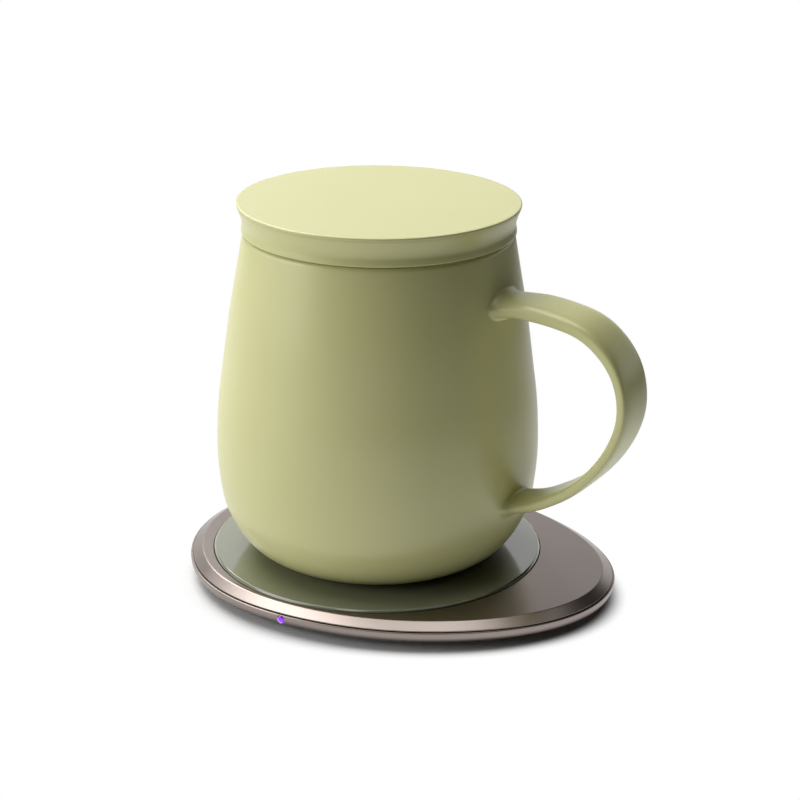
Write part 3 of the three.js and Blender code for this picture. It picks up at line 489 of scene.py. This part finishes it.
# The fillet's reach along the wall, how far off the wall it starts, and how deep its end is sunk
FILLET = 1.4
FILLET_START = 1.3
FILLET_DEPTH = 1.2
FILLET_STEPS = 14
HANDLE_STEPS = 200
HANDLE_SIDES = 56


def meet_wall(start, direction):
    """How far from start along direction the mug's wall lies, by ten steps, each as long as the
    gap to the wall that the last one left."""
    distance = np.zeros(start.shape[:-1])
    for _ in range(10):
        spot = start + direction * distance[..., None]
        gap = np.hypot(spot[..., 0], spot[..., 1]) - wall_radius(spot[..., 2])
        distance = distance + gap
    return distance


def on_wall(spot, sink=0.03):
    """The spot moved level onto the mug's wall, a hair below its surface."""
    reach = np.hypot(spot[..., 0], spot[..., 1])
    factor = (wall_radius(spot[..., 2]) - sink) / reach
    return np.stack([spot[..., 0] * factor, spot[..., 1] * factor, spot[..., 2]], axis=-1)


def root(section, direction):
    """Fillet from the handle's end section to the wall. Each point S runs to K, where its line
    meets the wall, and on to P, a fillet along the wall: (1-t)^2 S + 2t(1-t) K + t^2 P. Its end
    is sunk into the wall along the wall's own normal, and closed in the middle."""
    corner = section + direction * meet_wall(section, direction)[:, None]
    around = np.roll(section, -1, axis=0) - np.roll(section, 1, axis=0)
    outward = np.cross(around, direction)
    outward = outward * np.sign(((section - section.mean(axis=0)) * outward).sum(axis=1))[:, None]
    # How much the wall's radius grows over one millimetre of height
    steep = wall_radius(corner[:, 2] + 0.5) - wall_radius(corner[:, 2] - 0.5)
    reach = np.hypot(corner[:, 0], corner[:, 1])
    face = np.stack([corner[:, 0] / reach, corner[:, 1] / reach, -steep], axis=1)
    face = face / np.linalg.norm(face, axis=1, keepdims=True)
    outward = outward - (outward * face).sum(axis=1)[:, None] * face
    outward = outward / np.linalg.norm(outward, axis=1, keepdims=True)
    foot = on_wall(corner + outward * FILLET)
    t = np.linspace(0, 1, FILLET_STEPS + 1)[1:, None, None]
    skin = (1 - t) ** 2 * section + 2 * t * (1 - t) * corner + t ** 2 * foot
    sunk = foot - face * FILLET_DEPTH
    middle = np.broadcast_to(sunk.mean(axis=0), sunk.shape)
    return np.concatenate([skin, sunk[None], middle[None]])


def signed_power(wave, power):
    """sign(w) |w|^p."""
    return np.sign(wave) * np.abs(wave) ** power


def handle():
    """A flat oval section carried along the centreline: half widths w and t at angle a give
    (w c|c|^(f-1), t s|s|^(f-1)), where c = cos a, s = sin a and f is the flatness. Towards each
    root the section grows on its inner side and turns into a plain oval, f = 1."""
    shares = np.array(HANDLE_SHARES)
    height = HANDLE_LOW + shares[:, 1] * (HANDLE_TOP - HANDLE_LOW)
    rim = wall_radius(HANDLE_TOP)
    start = np.where(shares[:, 0] == 0, wall_radius(height) - ROOT_SINK, rim)
    line = np.stack([start + shares[:, 0] * (HANDLE_REACH - rim), height], axis=1)
    line = along(flowing(line, smooth=2.0), HANDLE_STEPS)
    share = np.linspace(0, 1, HANDLE_STEPS)
    widths = flowing(np.stack([np.linspace(0, 1, len(HANDLE_WIDTHS)), HANDLE_WIDTHS], axis=1))
    half_width = np.interp(share, widths[:, 0], widths[:, 1])[:, None] / 2
    slope = np.gradient(line, axis=0)
    slope = slope / np.linalg.norm(slope, axis=1, keepdims=True)
    angle = np.linspace(0, 2 * np.pi, HANDLE_SIDES, endpoint=False)[None, :]
    depths = flowing(np.stack([np.linspace(0, 1, len(HANDLE_THICKNESSES)), HANDLE_THICKNESSES], axis=1))
    half_thick = np.interp(share, depths[:, 0], depths[:, 1])[:, None] / 2
    near_wall = np.clip(1 - (line[:, :1] - wall_radius(line[:, 1:])) / ROOT_FLARE_LENGTH, 0, 1)
    flare = near_wall ** 2 * ROOT_FLARE
    flatness = HANDLE_FLATNESS + (1 - HANDLE_FLATNESS) * near_wall
    wide = signed_power(np.cos(angle), flatness) * (half_width + flare / 2)
    thick = signed_power(np.sin(angle), flatness) * (half_thick + flare) - flare
    grid = np.stack([line[:, :1] - slope[:, 1:] * thick, wide, line[:, 1:] + slope[:, :1] * thick], axis=-1)
    stand = np.hypot(grid[..., 0], grid[..., 1]) - wall_radius(grid[..., 2])
    free = np.flatnonzero(stand.min(axis=1) > FILLET_START)
    grid = grid[free[0]:free[-1] + 1]
    tangent = np.insert(slope[[free[0], free[-1]]], 1, 0, axis=1)
    upper = root(grid[0], -tangent[0])[::-1]
    lower = root(grid[-1], tangent[1])
    return np.concatenate([upper, grid, lower])


def turn_and_raise(grid, turn, rise):
    """The grid turned about the upright axis and raised."""
    x, y = grid[..., 0], grid[..., 1]
    return np.stack([x * math.cos(turn) - y * math.sin(turn), x * math.sin(turn) + y * math.cos(turn),
                     grid[..., 2] + rise], axis=-1)


make_piece("mug_with_handle", "mug", glaze, "mug_body",
           [(turn_and_raise(mug_shell(), 0, MUG_BASE), False),
            (turn_and_raise(handle(), HANDLE_TURN, MUG_BASE), False)])

make_piece("mug_base_disc", "mug", glaze, "mug_base_cover",
           [(turned(rounded(BASE_DISC) + [0, MUG_BASE]), False)])


def lid_shell():
    """The lid's closed section turned round: cavity, plug with its groove, bead, waist, top."""
    low, high = LID_GROOVE_HEIGHTS
    lower = rounded([[0, LID_CEILING, 0], [LID_CAVITY, LID_CEILING, 2.4], [LID_CAVITY, -LID_DEPTH, 0.7],
                     [LID_PLUG, -LID_DEPTH, 0.9], [LID_PLUG, low, 0.12], [LID_GROOVE, low, 0.12],
                     [LID_GROOVE, high, 0.12], [LID_PLUG, high, 0.12], [LID_PLUG, 0, 0.3],
                     [LID_LEDGE, 0, 0]])
    bead = rounded([[LID_LEDGE, 0, 0], [LID_BEAD, 0, 0.32], [*LID_SIDE[0], 0]])
    side = along(flowing(LID_SIDE, smooth=0.3), LID_SIDE_STEPS)
    edge = rounded([[*LID_SIDE[-1], 0], [LID_EDGE, LID_HEIGHT, LID_EDGE_ROUND], [0, LID_HEIGHT, 0]],
                   steps=12)
    return turned(tidy(np.concatenate([lower, bead, side, edge])))


make_piece("lid_cap", "lid", glaze, "lid_body",
           [(turn_and_raise(lid_shell(), 0, LID_BASE), False)])

make_piece("lid_fin_seal", "lid", seal_silicone, "lid_seal",
           [(turned(rounded(SEAL_FINS) + [0, LID_BASE]), True)])

plate_hole = AXIS_MARK - PLATE_HOLE
cover_path = rounded([[0, COVER_UNDER, 0.08], [0, CHAMFER_FOOT, 0.12], [CHAMFER_WIDTH, PAD_TOP, 0.25],
                      [plate_hole, PAD_TOP, 0.14], [plate_hole, SKIN_UNDER, 0.1],
                      [COVER_SKIN, SKIN_UNDER, 0.1], [COVER_EDGE + 0.1, COVER_UNDER + 0.1, 0.1],
                      [COVER_EDGE, COVER_UNDER, 0.05]])
make_piece("pad_top_cover", "warmer", aluminium, "top_cover",
           [(pad_rings(cover_path), True)])

band_side = flowing(BAND_SIDE, smooth=0.1)
band_path = np.concatenate([
    rounded([*BAND_UNDER, [*band_side[0], 0]]),
    along(band_side, BAND_SIDE_STEPS),
    rounded([[*band_side[-1], 0], [-BAND_BULGE, BAND_TOP, 0.3], *BAND_INNER])])
# The lens's place on the outline, and the outline's outward normal there
lens_spot = outline(LENS_ANGLE)
lens_out = lens_spot - outline(LENS_ANGLE, 1)


def lens_bar(path, columns=48):
    """A [radius, distance in from the outline] path turned about the level line through the
    band that points straight out of it."""
    ring = turned(path, columns)
    side = np.array([-lens_out[1], lens_out[0]])
    flat = lens_spot - ring[..., 2:3] * lens_out + ring[..., 0:1] * side
    return np.concatenate([flat, ring[..., 1:2] + LENS_HEIGHT], axis=-1)


def stadium(width, height, near, far, columns=24):
    """Two rows of a slot with round ends, at y near and far: half circles of radius h/2 about
    (+-(w-h)/2, 0), raised to the socket's middle."""
    half = np.linspace(-np.pi / 2, np.pi / 2, columns)
    angle = np.concatenate([half, half + np.pi])
    middle = np.where(np.arange(2 * columns) < columns, 1, -1) * (width - height) / 2
    x, z = middle + height / 2 * np.cos(angle), height / 2 * np.sin(angle) + SOCKET_MIDDLE
    return np.stack([np.stack([x, 0 * x + y, z], axis=-1) for y in (near, far)])


def capped(grid):
    """The grid closed at its two ends by a point in the middle of each."""
    ends = [np.broadcast_to(row.mean(axis=0), row.shape)[None] for row in (grid[0], grid[-1])]
    return np.concatenate([ends[0], grid, ends[1]])


socket_front = outline(math.pi / 2, BAND_WALL)[1] - SOCKET_SINK
socket_rear = socket_front - SOCKET_DEPTH
tube_width = SOCKET_WIDTH - SOCKET_WALL * 2
tube_height = SOCKET_HEIGHT - SOCKET_WALL * 2
hole_radius = LENS_RADIUS + LENS_GAP
hole_out, hole_in = LENS_HOLE
lens_hole = np.array([[0, hole_out], [hole_radius, hole_out], [hole_radius, hole_in], [0, hole_in]])
socket_mouth = capped(stadium(tube_width - SOCKET_LIP, tube_height, socket_front - MOUTH_CUT[0],
                              socket_front + MOUTH_CUT[1]))
holes = [put_in_scene("lens_hole", closed_mesh("lens_hole", [(lens_bar(lens_hole), False)])),
         put_in_scene("socket_mouth", closed_mesh("socket_mouth", [(socket_mouth, False)]))]
make_piece("pad_side_band", "warmer", aluminium, "side_band",
           [(pad_rings(tidy(band_path)), True)], holes, BAND_SHARP_TURN)

# Painted light on the lens, in lens radii from its middle: which way its painted highlight lies, and
# between which distances the highlight's bright rim, its lower left side and the painted shade over the
# upper part come in
GLINT_WAY = (-0.6, -0.8, 0)
GLINT_RIM = (0.45, 0.95)
GLINT_SIDE = (0.0, 0.8)
PAINTED_SHADE_SPAN = (0.1, 0.9)


def lens_with_painted_glint():
    """Clear acrylic lens lit violet from behind, with painted shade darkening it under its upper
    edge and a painted pale highlight round its lower left edge."""
    material, tree, place = start_material("violet_lit_acrylic_painted_glint")
    middle = [lens_spot[0] * MM, lens_spot[1] * MM, LENS_HEIGHT * MM]
    shift = add(tree, "VectorMath", {"operation": "SUBTRACT", 1: middle}, {0: place}).outputs[0]
    size = 1 / (LENS_RADIUS * MM)
    level = [-lens_out[1] * size, lens_out[0] * size, 0]
    right = add(tree, "VectorMath", {"operation": "DOT_PRODUCT", 1: level}, {0: shift}).outputs["Value"]
    upper = add(tree, "VectorMath", {"operation": "DOT_PRODUCT", 1: [0, 0, size]},
                {0: shift}).outputs["Value"]
    spot = add(tree, "CombineXYZ", {}, {0: right, 1: upper}).outputs[0]
    reach = add(tree, "VectorMath", {"operation": "LENGTH"}, {0: spot}).outputs["Value"]
    # Painted highlight: pale towards the lens's rim and its lower left side
    edge = add(tree, "MapRange", {"interpolation_type": "SMOOTHSTEP", "From Min": GLINT_RIM[0],
                                  "From Max": GLINT_RIM[1]}, {"Value": reach}).outputs[0]
    lower = add(tree, "VectorMath", {"operation": "DOT_PRODUCT", 1: GLINT_WAY}, {0: spot}).outputs["Value"]
    lower = add(tree, "MapRange", {"interpolation_type": "SMOOTHSTEP", "From Min": GLINT_SIDE[0],
                                   "From Max": GLINT_SIDE[1]}, {"Value": lower}).outputs[0]
    painted_glint = add(tree, "Math", {"operation": "MULTIPLY"}, {0: edge, 1: lower}).outputs[0]
    # Painted shade: the violet darkens towards the lens's upper edge
    painted_shade = add(tree, "MapRange", {"interpolation_type": "SMOOTHSTEP", "From Min": PAINTED_SHADE_SPAN[0],
                                 "From Max": PAINTED_SHADE_SPAN[1]}, {"Value": upper}).outputs[0]
    glow_with_painted_light = add(tree, "Mix", {"data_type": "RGBA", 6: linear("#9a00ff"), 7: linear("#45008a")},
               {0: painted_shade}).outputs[2]
    # The painted pale highlight is mixed over the violet light
    glow_with_painted_light = add(tree, "Mix", {"data_type": "RGBA", 7: linear("#f4e8ff")}, {0: painted_glint, 6: glow_with_painted_light}).outputs[2]
    shader = add(tree, "BsdfPrincipled",
                 {"Base Color": linear("#2a0050"), "Roughness": 0.08, "Emission Strength": 1.0,
                  "Coat Weight": 1.0, "Coat Roughness": 0.03}, {"Emission Color": glow_with_painted_light})
    add(tree, "OutputMaterial", {}, {"Surface": shader.outputs[0]})
    return material


# The lens material holds its violet light plus a painted highlight and painted shade
violet = lens_with_painted_glint()
make_piece("status_light_lens", "warmer", violet, "status_lens",
           [(lens_bar(rounded(LENS_ROD)), False)])
make_piece("pad_seam_seal", "warmer", rubber, "seam_gasket",
           [(pad_rings(rounded(SEAM_SEAL)), True)])
make_piece("glass_mug_plate", "warmer", glass_plate, "mug_plate",
           [(turned(rounded(PLATE)), False)])
make_piece("pad_bottom_cover", "warmer", abs_black, "bottom_cover",
           [(pad_rings(rounded(BASE)), False)])
make_piece("pad_rubber_foot", "warmer", rubber, "foot_pad",
           [(pad_rings(rounded(FOOT)), False)])

outer_tube = stadium(SOCKET_WIDTH, SOCKET_HEIGHT, socket_rear, socket_front)
inner_tube = stadium(tube_width, tube_height, socket_front, socket_rear + SOCKET_WALL * 2)
socket_shell = capped(np.concatenate([outer_tube, inner_tube]))
make_piece("socket_steel_shell", "warmer", steel, "socket_shell",
           [(socket_shell, False)])

# Nodes whose shape is right keep it, and get the material of their slot
KEPT = {
    "plate_gasket": rubber, "mid_frame": abs_black, "coil_holder": abs_black, "shield_plate": foil,
    "ferrite_disc": ferrite, "induction_coil": copper_tape, "insulation_sheet": mica,
    "temperature_sensor": steel, "coil_lead_outer": copper_tape, "coil_lead_inner": copper_tape,
    "main_board": board_green, "power_chip": epoxy, "control_chip": epoxy, "power_choke": ferrite,
    "status_led": seal_silicone, "driver_transistor_1": epoxy, "driver_transistor_2": epoxy,
    "resonant_capacitor_1": dipped, "resonant_capacitor_2": dipped, "resonant_capacitor_3": dipped,
    "socket_tongue": abs_black, "cover_screw_1": steel, "cover_screw_2": steel, "cover_screw_3": steel,
    "cover_screw_4": steel, "cover_screw_5": steel, "mug_base_sheet": mica, "heating_film": foil,
}
for node, material in KEPT.items():
    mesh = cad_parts[node].data
    mesh.materials.clear()
    mesh.materials.append(material)


# Camera: its turn about the upright axis, its tilt up from straight down, its roll and its place
VIEW_TURN = math.radians(25)
CAMERA_TILT = math.radians(69.8)
CAMERA_ROLL = math.radians(0.54)
CAMERA_PLACE = (0.2508, -0.5228, 0.2662)
CAMERA_LENS_MM = 96.3
CAMERA_SENSOR_MM = 36
CAMERA_NEAR = 0.01

# The lit backdrop seen in reflections: its strength, the sines of the direction between which it
# comes in behind the object and ends overhead, and how much lower it ends at its two sides
BACKDROP_GLOSS = 1.26
BACKDROP_START = (-0.3, 0.3)
BACKDROP_TOP = (0.42, 0.55)
BACKDROP_SAG = 0.22
# A large overhead diffuser seen in reflections: the way to its middle, to the camera's right,
# away from it and up, its strength, and the cosines between which it fades out
DIFFUSER = (0.27, 0.15, 0.95)
DIFFUSER_GLOSS = 0.8
DIFFUSER_EDGE = 0.9
DIFFUSER_HEART = 0.97

# The table, in metres, a hair under the object, with its tone as seen and as it lights the object
TABLE_HALF = 8.0
TABLE_LEVEL = -0.00005
TABLE_TONE = "#e8e8e8"
BOUNCE_TONE = "#8c8c8c"
# The table turns plain white between two ovals round the pad, FADE_START and FADE_END times its
# half sizes in x, y and z. The taper narrows them towards the pad's tip
PAD_MIDDLE = (7.5, 0, 0)
PAD_HALVES = (62.5, 52, 1)
PAD_TAPER = 0.13
FADE_START = 0.995
FADE_END = 1.11
# How many pad sizes out the table's own light begins and ends to fade
TABLE_LIT = 6
TABLE_DARK = 16
# Strength of the plain white table in reflections, and what it adds to the soft fill
TABLE_GLOSS = 1.1
TABLE_FILL = 0.65
# The table's own light falls off to this share between these metres to the camera's right
TABLE_RIGHT = (0.03, 0.4)
TABLE_RIGHT_SHARE = 0.45
# Lamps: name, place to the camera's right, away from it and up, width, depth, power. They all
# face LAMP_AIM
LAMPS = (
    ("high_left_softbox", -0.6, 0.2, 1.0, 0.7, 0.7, 4.0),
    ("front_left_softbox", -1.1, -0.4, 0.45, 0.7, 0.7, 6.7),
    ("low_left_softbox", -1.15, 0.25, 0.35, 0.7, 0.7, 2.0),
    ("overhead_softbox", -0.18, 0.2, 1.15, 1.0, 1.0, 8.0),
    ("back_left_softbox", -0.4, 0.75, 0.85, 0.6, 0.6, 6.4),
)
LAMP_AIM = (0, 0, 0.05)


def from_view(right, back, up):
    """Place given as seen by the camera: to its right, away from it, and up, in metres."""
    return (right * math.cos(VIEW_TURN) - back * math.sin(VIEW_TURN),
            right * math.sin(VIEW_TURN) + back * math.cos(VIEW_TURN), up)


def make_floor():
    """A pale table that shows the object's shadow and turns plain white further out. Distance is
    counted in pad sizes, the length of (x, y (1 + taper x)) with x and y as shares of the pad's
    half sizes. The table's own light, in reflections and as soft fill, fades out with it and
    falls off to the camera's right."""
    size, level = TABLE_HALF, TABLE_LEVEL
    corners = [(-size, -size, level), (size, -size, level), (size, size, level), (-size, size, level)]
    mesh = bpy.data.meshes.new("studio_floor")
    mesh.from_pydata(corners, [], [(0, 1, 2, 3)])
    material, tree, place = start_material("matte_white_table")
    rays = add(tree, "LightPath").outputs
    mirrored = add(tree, "Math", {"operation": "MAXIMUM"}, {0: rays["Is Glossy Ray"],
                                                            1: rays["Is Transmission Ray"]}).outputs[0]
    seen = add(tree, "Math", {"operation": "MAXIMUM"}, {0: rays["Is Camera Ray"], 1: mirrored}).outputs[0]
    from_pad = add(tree, "VectorMath", {"operation": "SUBTRACT", 1: [part * MM for part in PAD_MIDDLE]},
                   {0: place}).outputs[0]
    scaled = add(tree, "VectorMath", {"operation": "DIVIDE", 1: [part * MM for part in PAD_HALVES]},
                 {0: from_pad}).outputs[0]
    part = add(tree, "SeparateXYZ", {}, {0: scaled}).outputs
    narrowing = add(tree, "Math", {"operation": "MULTIPLY_ADD", 1: PAD_TAPER, 2: 1.0},
                    {0: part["X"]}).outputs[0]
    wide = add(tree, "Math", {"operation": "MULTIPLY"}, {0: part["Y"], 1: narrowing}).outputs[0]
    spot = add(tree, "CombineXYZ", {}, {0: part["X"], 1: wide}).outputs[0]
    distance = add(tree, "VectorMath", {"operation": "LENGTH"}, {0: spot}).outputs["Value"]
    far = add(tree, "MapRange", {"interpolation_type": "SMOOTHSTEP", "From Min": FADE_START,
                                 "From Max": FADE_END}, {"Value": distance}).outputs[0]
    share = add(tree, "Math", {"operation": "MULTIPLY"}, {0: far, 1: seen}).outputs[0]
    tone = add(tree, "Mix", {"data_type": "RGBA", 6: linear(TABLE_TONE), 7: linear(BOUNCE_TONE)},
               {0: rays["Is Diffuse Ray"]}).outputs[2]
    matte = add(tree, "BsdfDiffuse", {}, {"Color": tone}).outputs[0]
    lit = add(tree, "MapRange", {"interpolation_type": "SMOOTHSTEP", "From Min": TABLE_LIT,
                                 "From Max": TABLE_DARK, "To Min": 1.0, "To Max": 0.0},
              {"Value": distance}).outputs[0]
    right = add(tree, "VectorMath", {"operation": "DOT_PRODUCT", 1: from_view(1, 0, 0)},
                {0: place}).outputs["Value"]
    fall = add(tree, "MapRange", {"interpolation_type": "SMOOTHSTEP", "From Min": TABLE_RIGHT[0],
                                  "From Max": TABLE_RIGHT[1], "To Min": 1.0, "To Max": TABLE_RIGHT_SHARE},
               {"Value": right}).outputs[0]
    lit = add(tree, "Math", {"operation": "MULTIPLY"}, {0: lit, 1: fall}).outputs[0]
    shown = add(tree, "Math", {"operation": "MULTIPLY", 1: TABLE_GLOSS}, {0: lit}).outputs[0]
    white = add(tree, "Mix", {"data_type": "FLOAT", 2: 1.0}, {0: mirrored, 3: shown}).outputs[0]
    plain = add(tree, "Emission", {}, {"Strength": white}).outputs[0]
    mixed = add(tree, "MixShader", {}, {0: share, 1: matte, 2: plain}).outputs[0]
    filled = add(tree, "Math", {"operation": "MULTIPLY", 1: TABLE_FILL},
                 {0: rays["Is Diffuse Ray"]}).outputs[0]
    filled = add(tree, "Math", {"operation": "MULTIPLY"}, {0: filled, 1: lit}).outputs[0]
    fill = add(tree, "Emission", {}, {"Strength": filled}).outputs[0]
    mixed = add(tree, "AddShader", {}, {0: mixed, 1: fill}).outputs[0]
    clear = add(tree, "BsdfTransparent").outputs[0]
    below = add(tree, "NewGeometry").outputs["Backfacing"]
    open_below = add(tree, "MixShader", {}, {0: below, 1: mixed, 2: clear}).outputs[0]
    add(tree, "OutputMaterial", {}, {"Surface": open_below})
    mesh.materials.append(material)
    floor = put_in_scene("studio_floor", mesh)


def make_world():
    """White all round for the camera. In reflections a lit backdrop stands behind the object up
    to about 30 degrees, lower at its sides, with a diffuser overhead, and the rest is dark. It
    gives no soft light: that comes from the lamps and the table."""
    world = bpy.data.worlds.new("studio")
    bpy.context.scene.world = world
    world.use_nodes = True
    tree = world.node_tree
    tree.nodes.clear()
    rays = add(tree, "LightPath").outputs
    way = add(tree, "TexCoord").outputs["Generated"]
    up = add(tree, "SeparateXYZ", {}, {0: way}).outputs["Z"]
    away = add(tree, "VectorMath", {"operation": "DOT_PRODUCT", 1: from_view(0, 1, 0)},
               {0: way}).outputs["Value"]
    behind = add(tree, "MapRange", {"interpolation_type": "SMOOTHSTEP", "From Min": BACKDROP_START[0],
                                    "From Max": BACKDROP_START[1]}, {"Value": away}).outputs[0]
    right = add(tree, "VectorMath", {"operation": "DOT_PRODUCT", 1: from_view(1, 0, 0)},
                {0: way}).outputs["Value"]
    aside = add(tree, "Math", {"operation": "ABSOLUTE"}, {0: right}).outputs[0]
    level = add(tree, "Math", {"operation": "MULTIPLY_ADD", 1: BACKDROP_SAG}, {0: aside, 2: up}).outputs[0]
    low = add(tree, "MapRange", {"interpolation_type": "SMOOTHSTEP", "From Min": BACKDROP_TOP[0],
                                 "From Max": BACKDROP_TOP[1], "To Min": 1.0, "To Max": 0.0},
              {"Value": level}).outputs[0]
    backdrop = add(tree, "Math", {"operation": "MULTIPLY"}, {0: behind, 1: low}).outputs[0]
    facing = add(tree, "VectorMath", {"operation": "DOT_PRODUCT", 1: from_view(*DIFFUSER)},
                 {0: way}).outputs["Value"]
    overhead = add(tree, "MapRange", {"interpolation_type": "SMOOTHSTEP", "From Min": DIFFUSER_EDGE,
                                      "From Max": DIFFUSER_HEART, "To Max": DIFFUSER_GLOSS},
                   {"Value": facing}).outputs[0]
    gloss = add(tree, "Math", {"operation": "MULTIPLY_ADD", 1: BACKDROP_GLOSS},
                {0: backdrop, 2: overhead}).outputs[0]
    mirrored = add(tree, "Math", {"operation": "MAXIMUM"}, {0: rays["Is Glossy Ray"],
                                                            1: rays["Is Transmission Ray"]}).outputs[0]
    gloss = add(tree, "Math", {"operation": "MULTIPLY"}, {0: mirrored, 1: gloss}).outputs[0]
    strength = add(tree, "Math", {"operation": "MAXIMUM"}, {0: rays["Is Camera Ray"],
                                                            1: gloss}).outputs[0]
    shader = add(tree, "Background", {}, {"Strength": strength}).outputs[0]
    add(tree, "OutputWorld", {}, {"Surface": shader})


def make_light(name, place, target, width, depth, power):
    """A soft rectangular lamp at place that faces target, in metres."""
    lamp = bpy.data.lights.new(name, "AREA")
    lamp.shape = "RECTANGLE"
    lamp.size = width
    lamp.size_y = depth
    lamp.energy = power
    holder = put_in_scene(name, lamp)
    place, target = np.array(place, float), np.array(target, float)
    holder.rotation_euler = Vector(target - place).to_track_quat("-Z", "Y").to_euler()
    holder.location = place


make_floor()
make_world()
for name, right, back, up, width, depth, power in LAMPS:
    make_light(name, from_view(right, back, up), LAMP_AIM, width, depth, power)

camera_data = bpy.data.cameras.new("camera")
camera_data.lens = CAMERA_LENS_MM
camera_data.sensor_width = CAMERA_SENSOR_MM
camera_data.clip_start = CAMERA_NEAR
camera = put_in_scene("camera", camera_data)
camera.location = CAMERA_PLACE
turn = Matrix.Rotation(VIEW_TURN, 3, "Z") @ Matrix.Rotation(CAMERA_TILT, 3, "X")
camera.rotation_euler = (turn @ Matrix.Rotation(CAMERA_ROLL, 3, "Z")).to_euler()
bpy.context.scene.camera = camera
bpy.context.scene.view_settings.view_transform = "Standard"
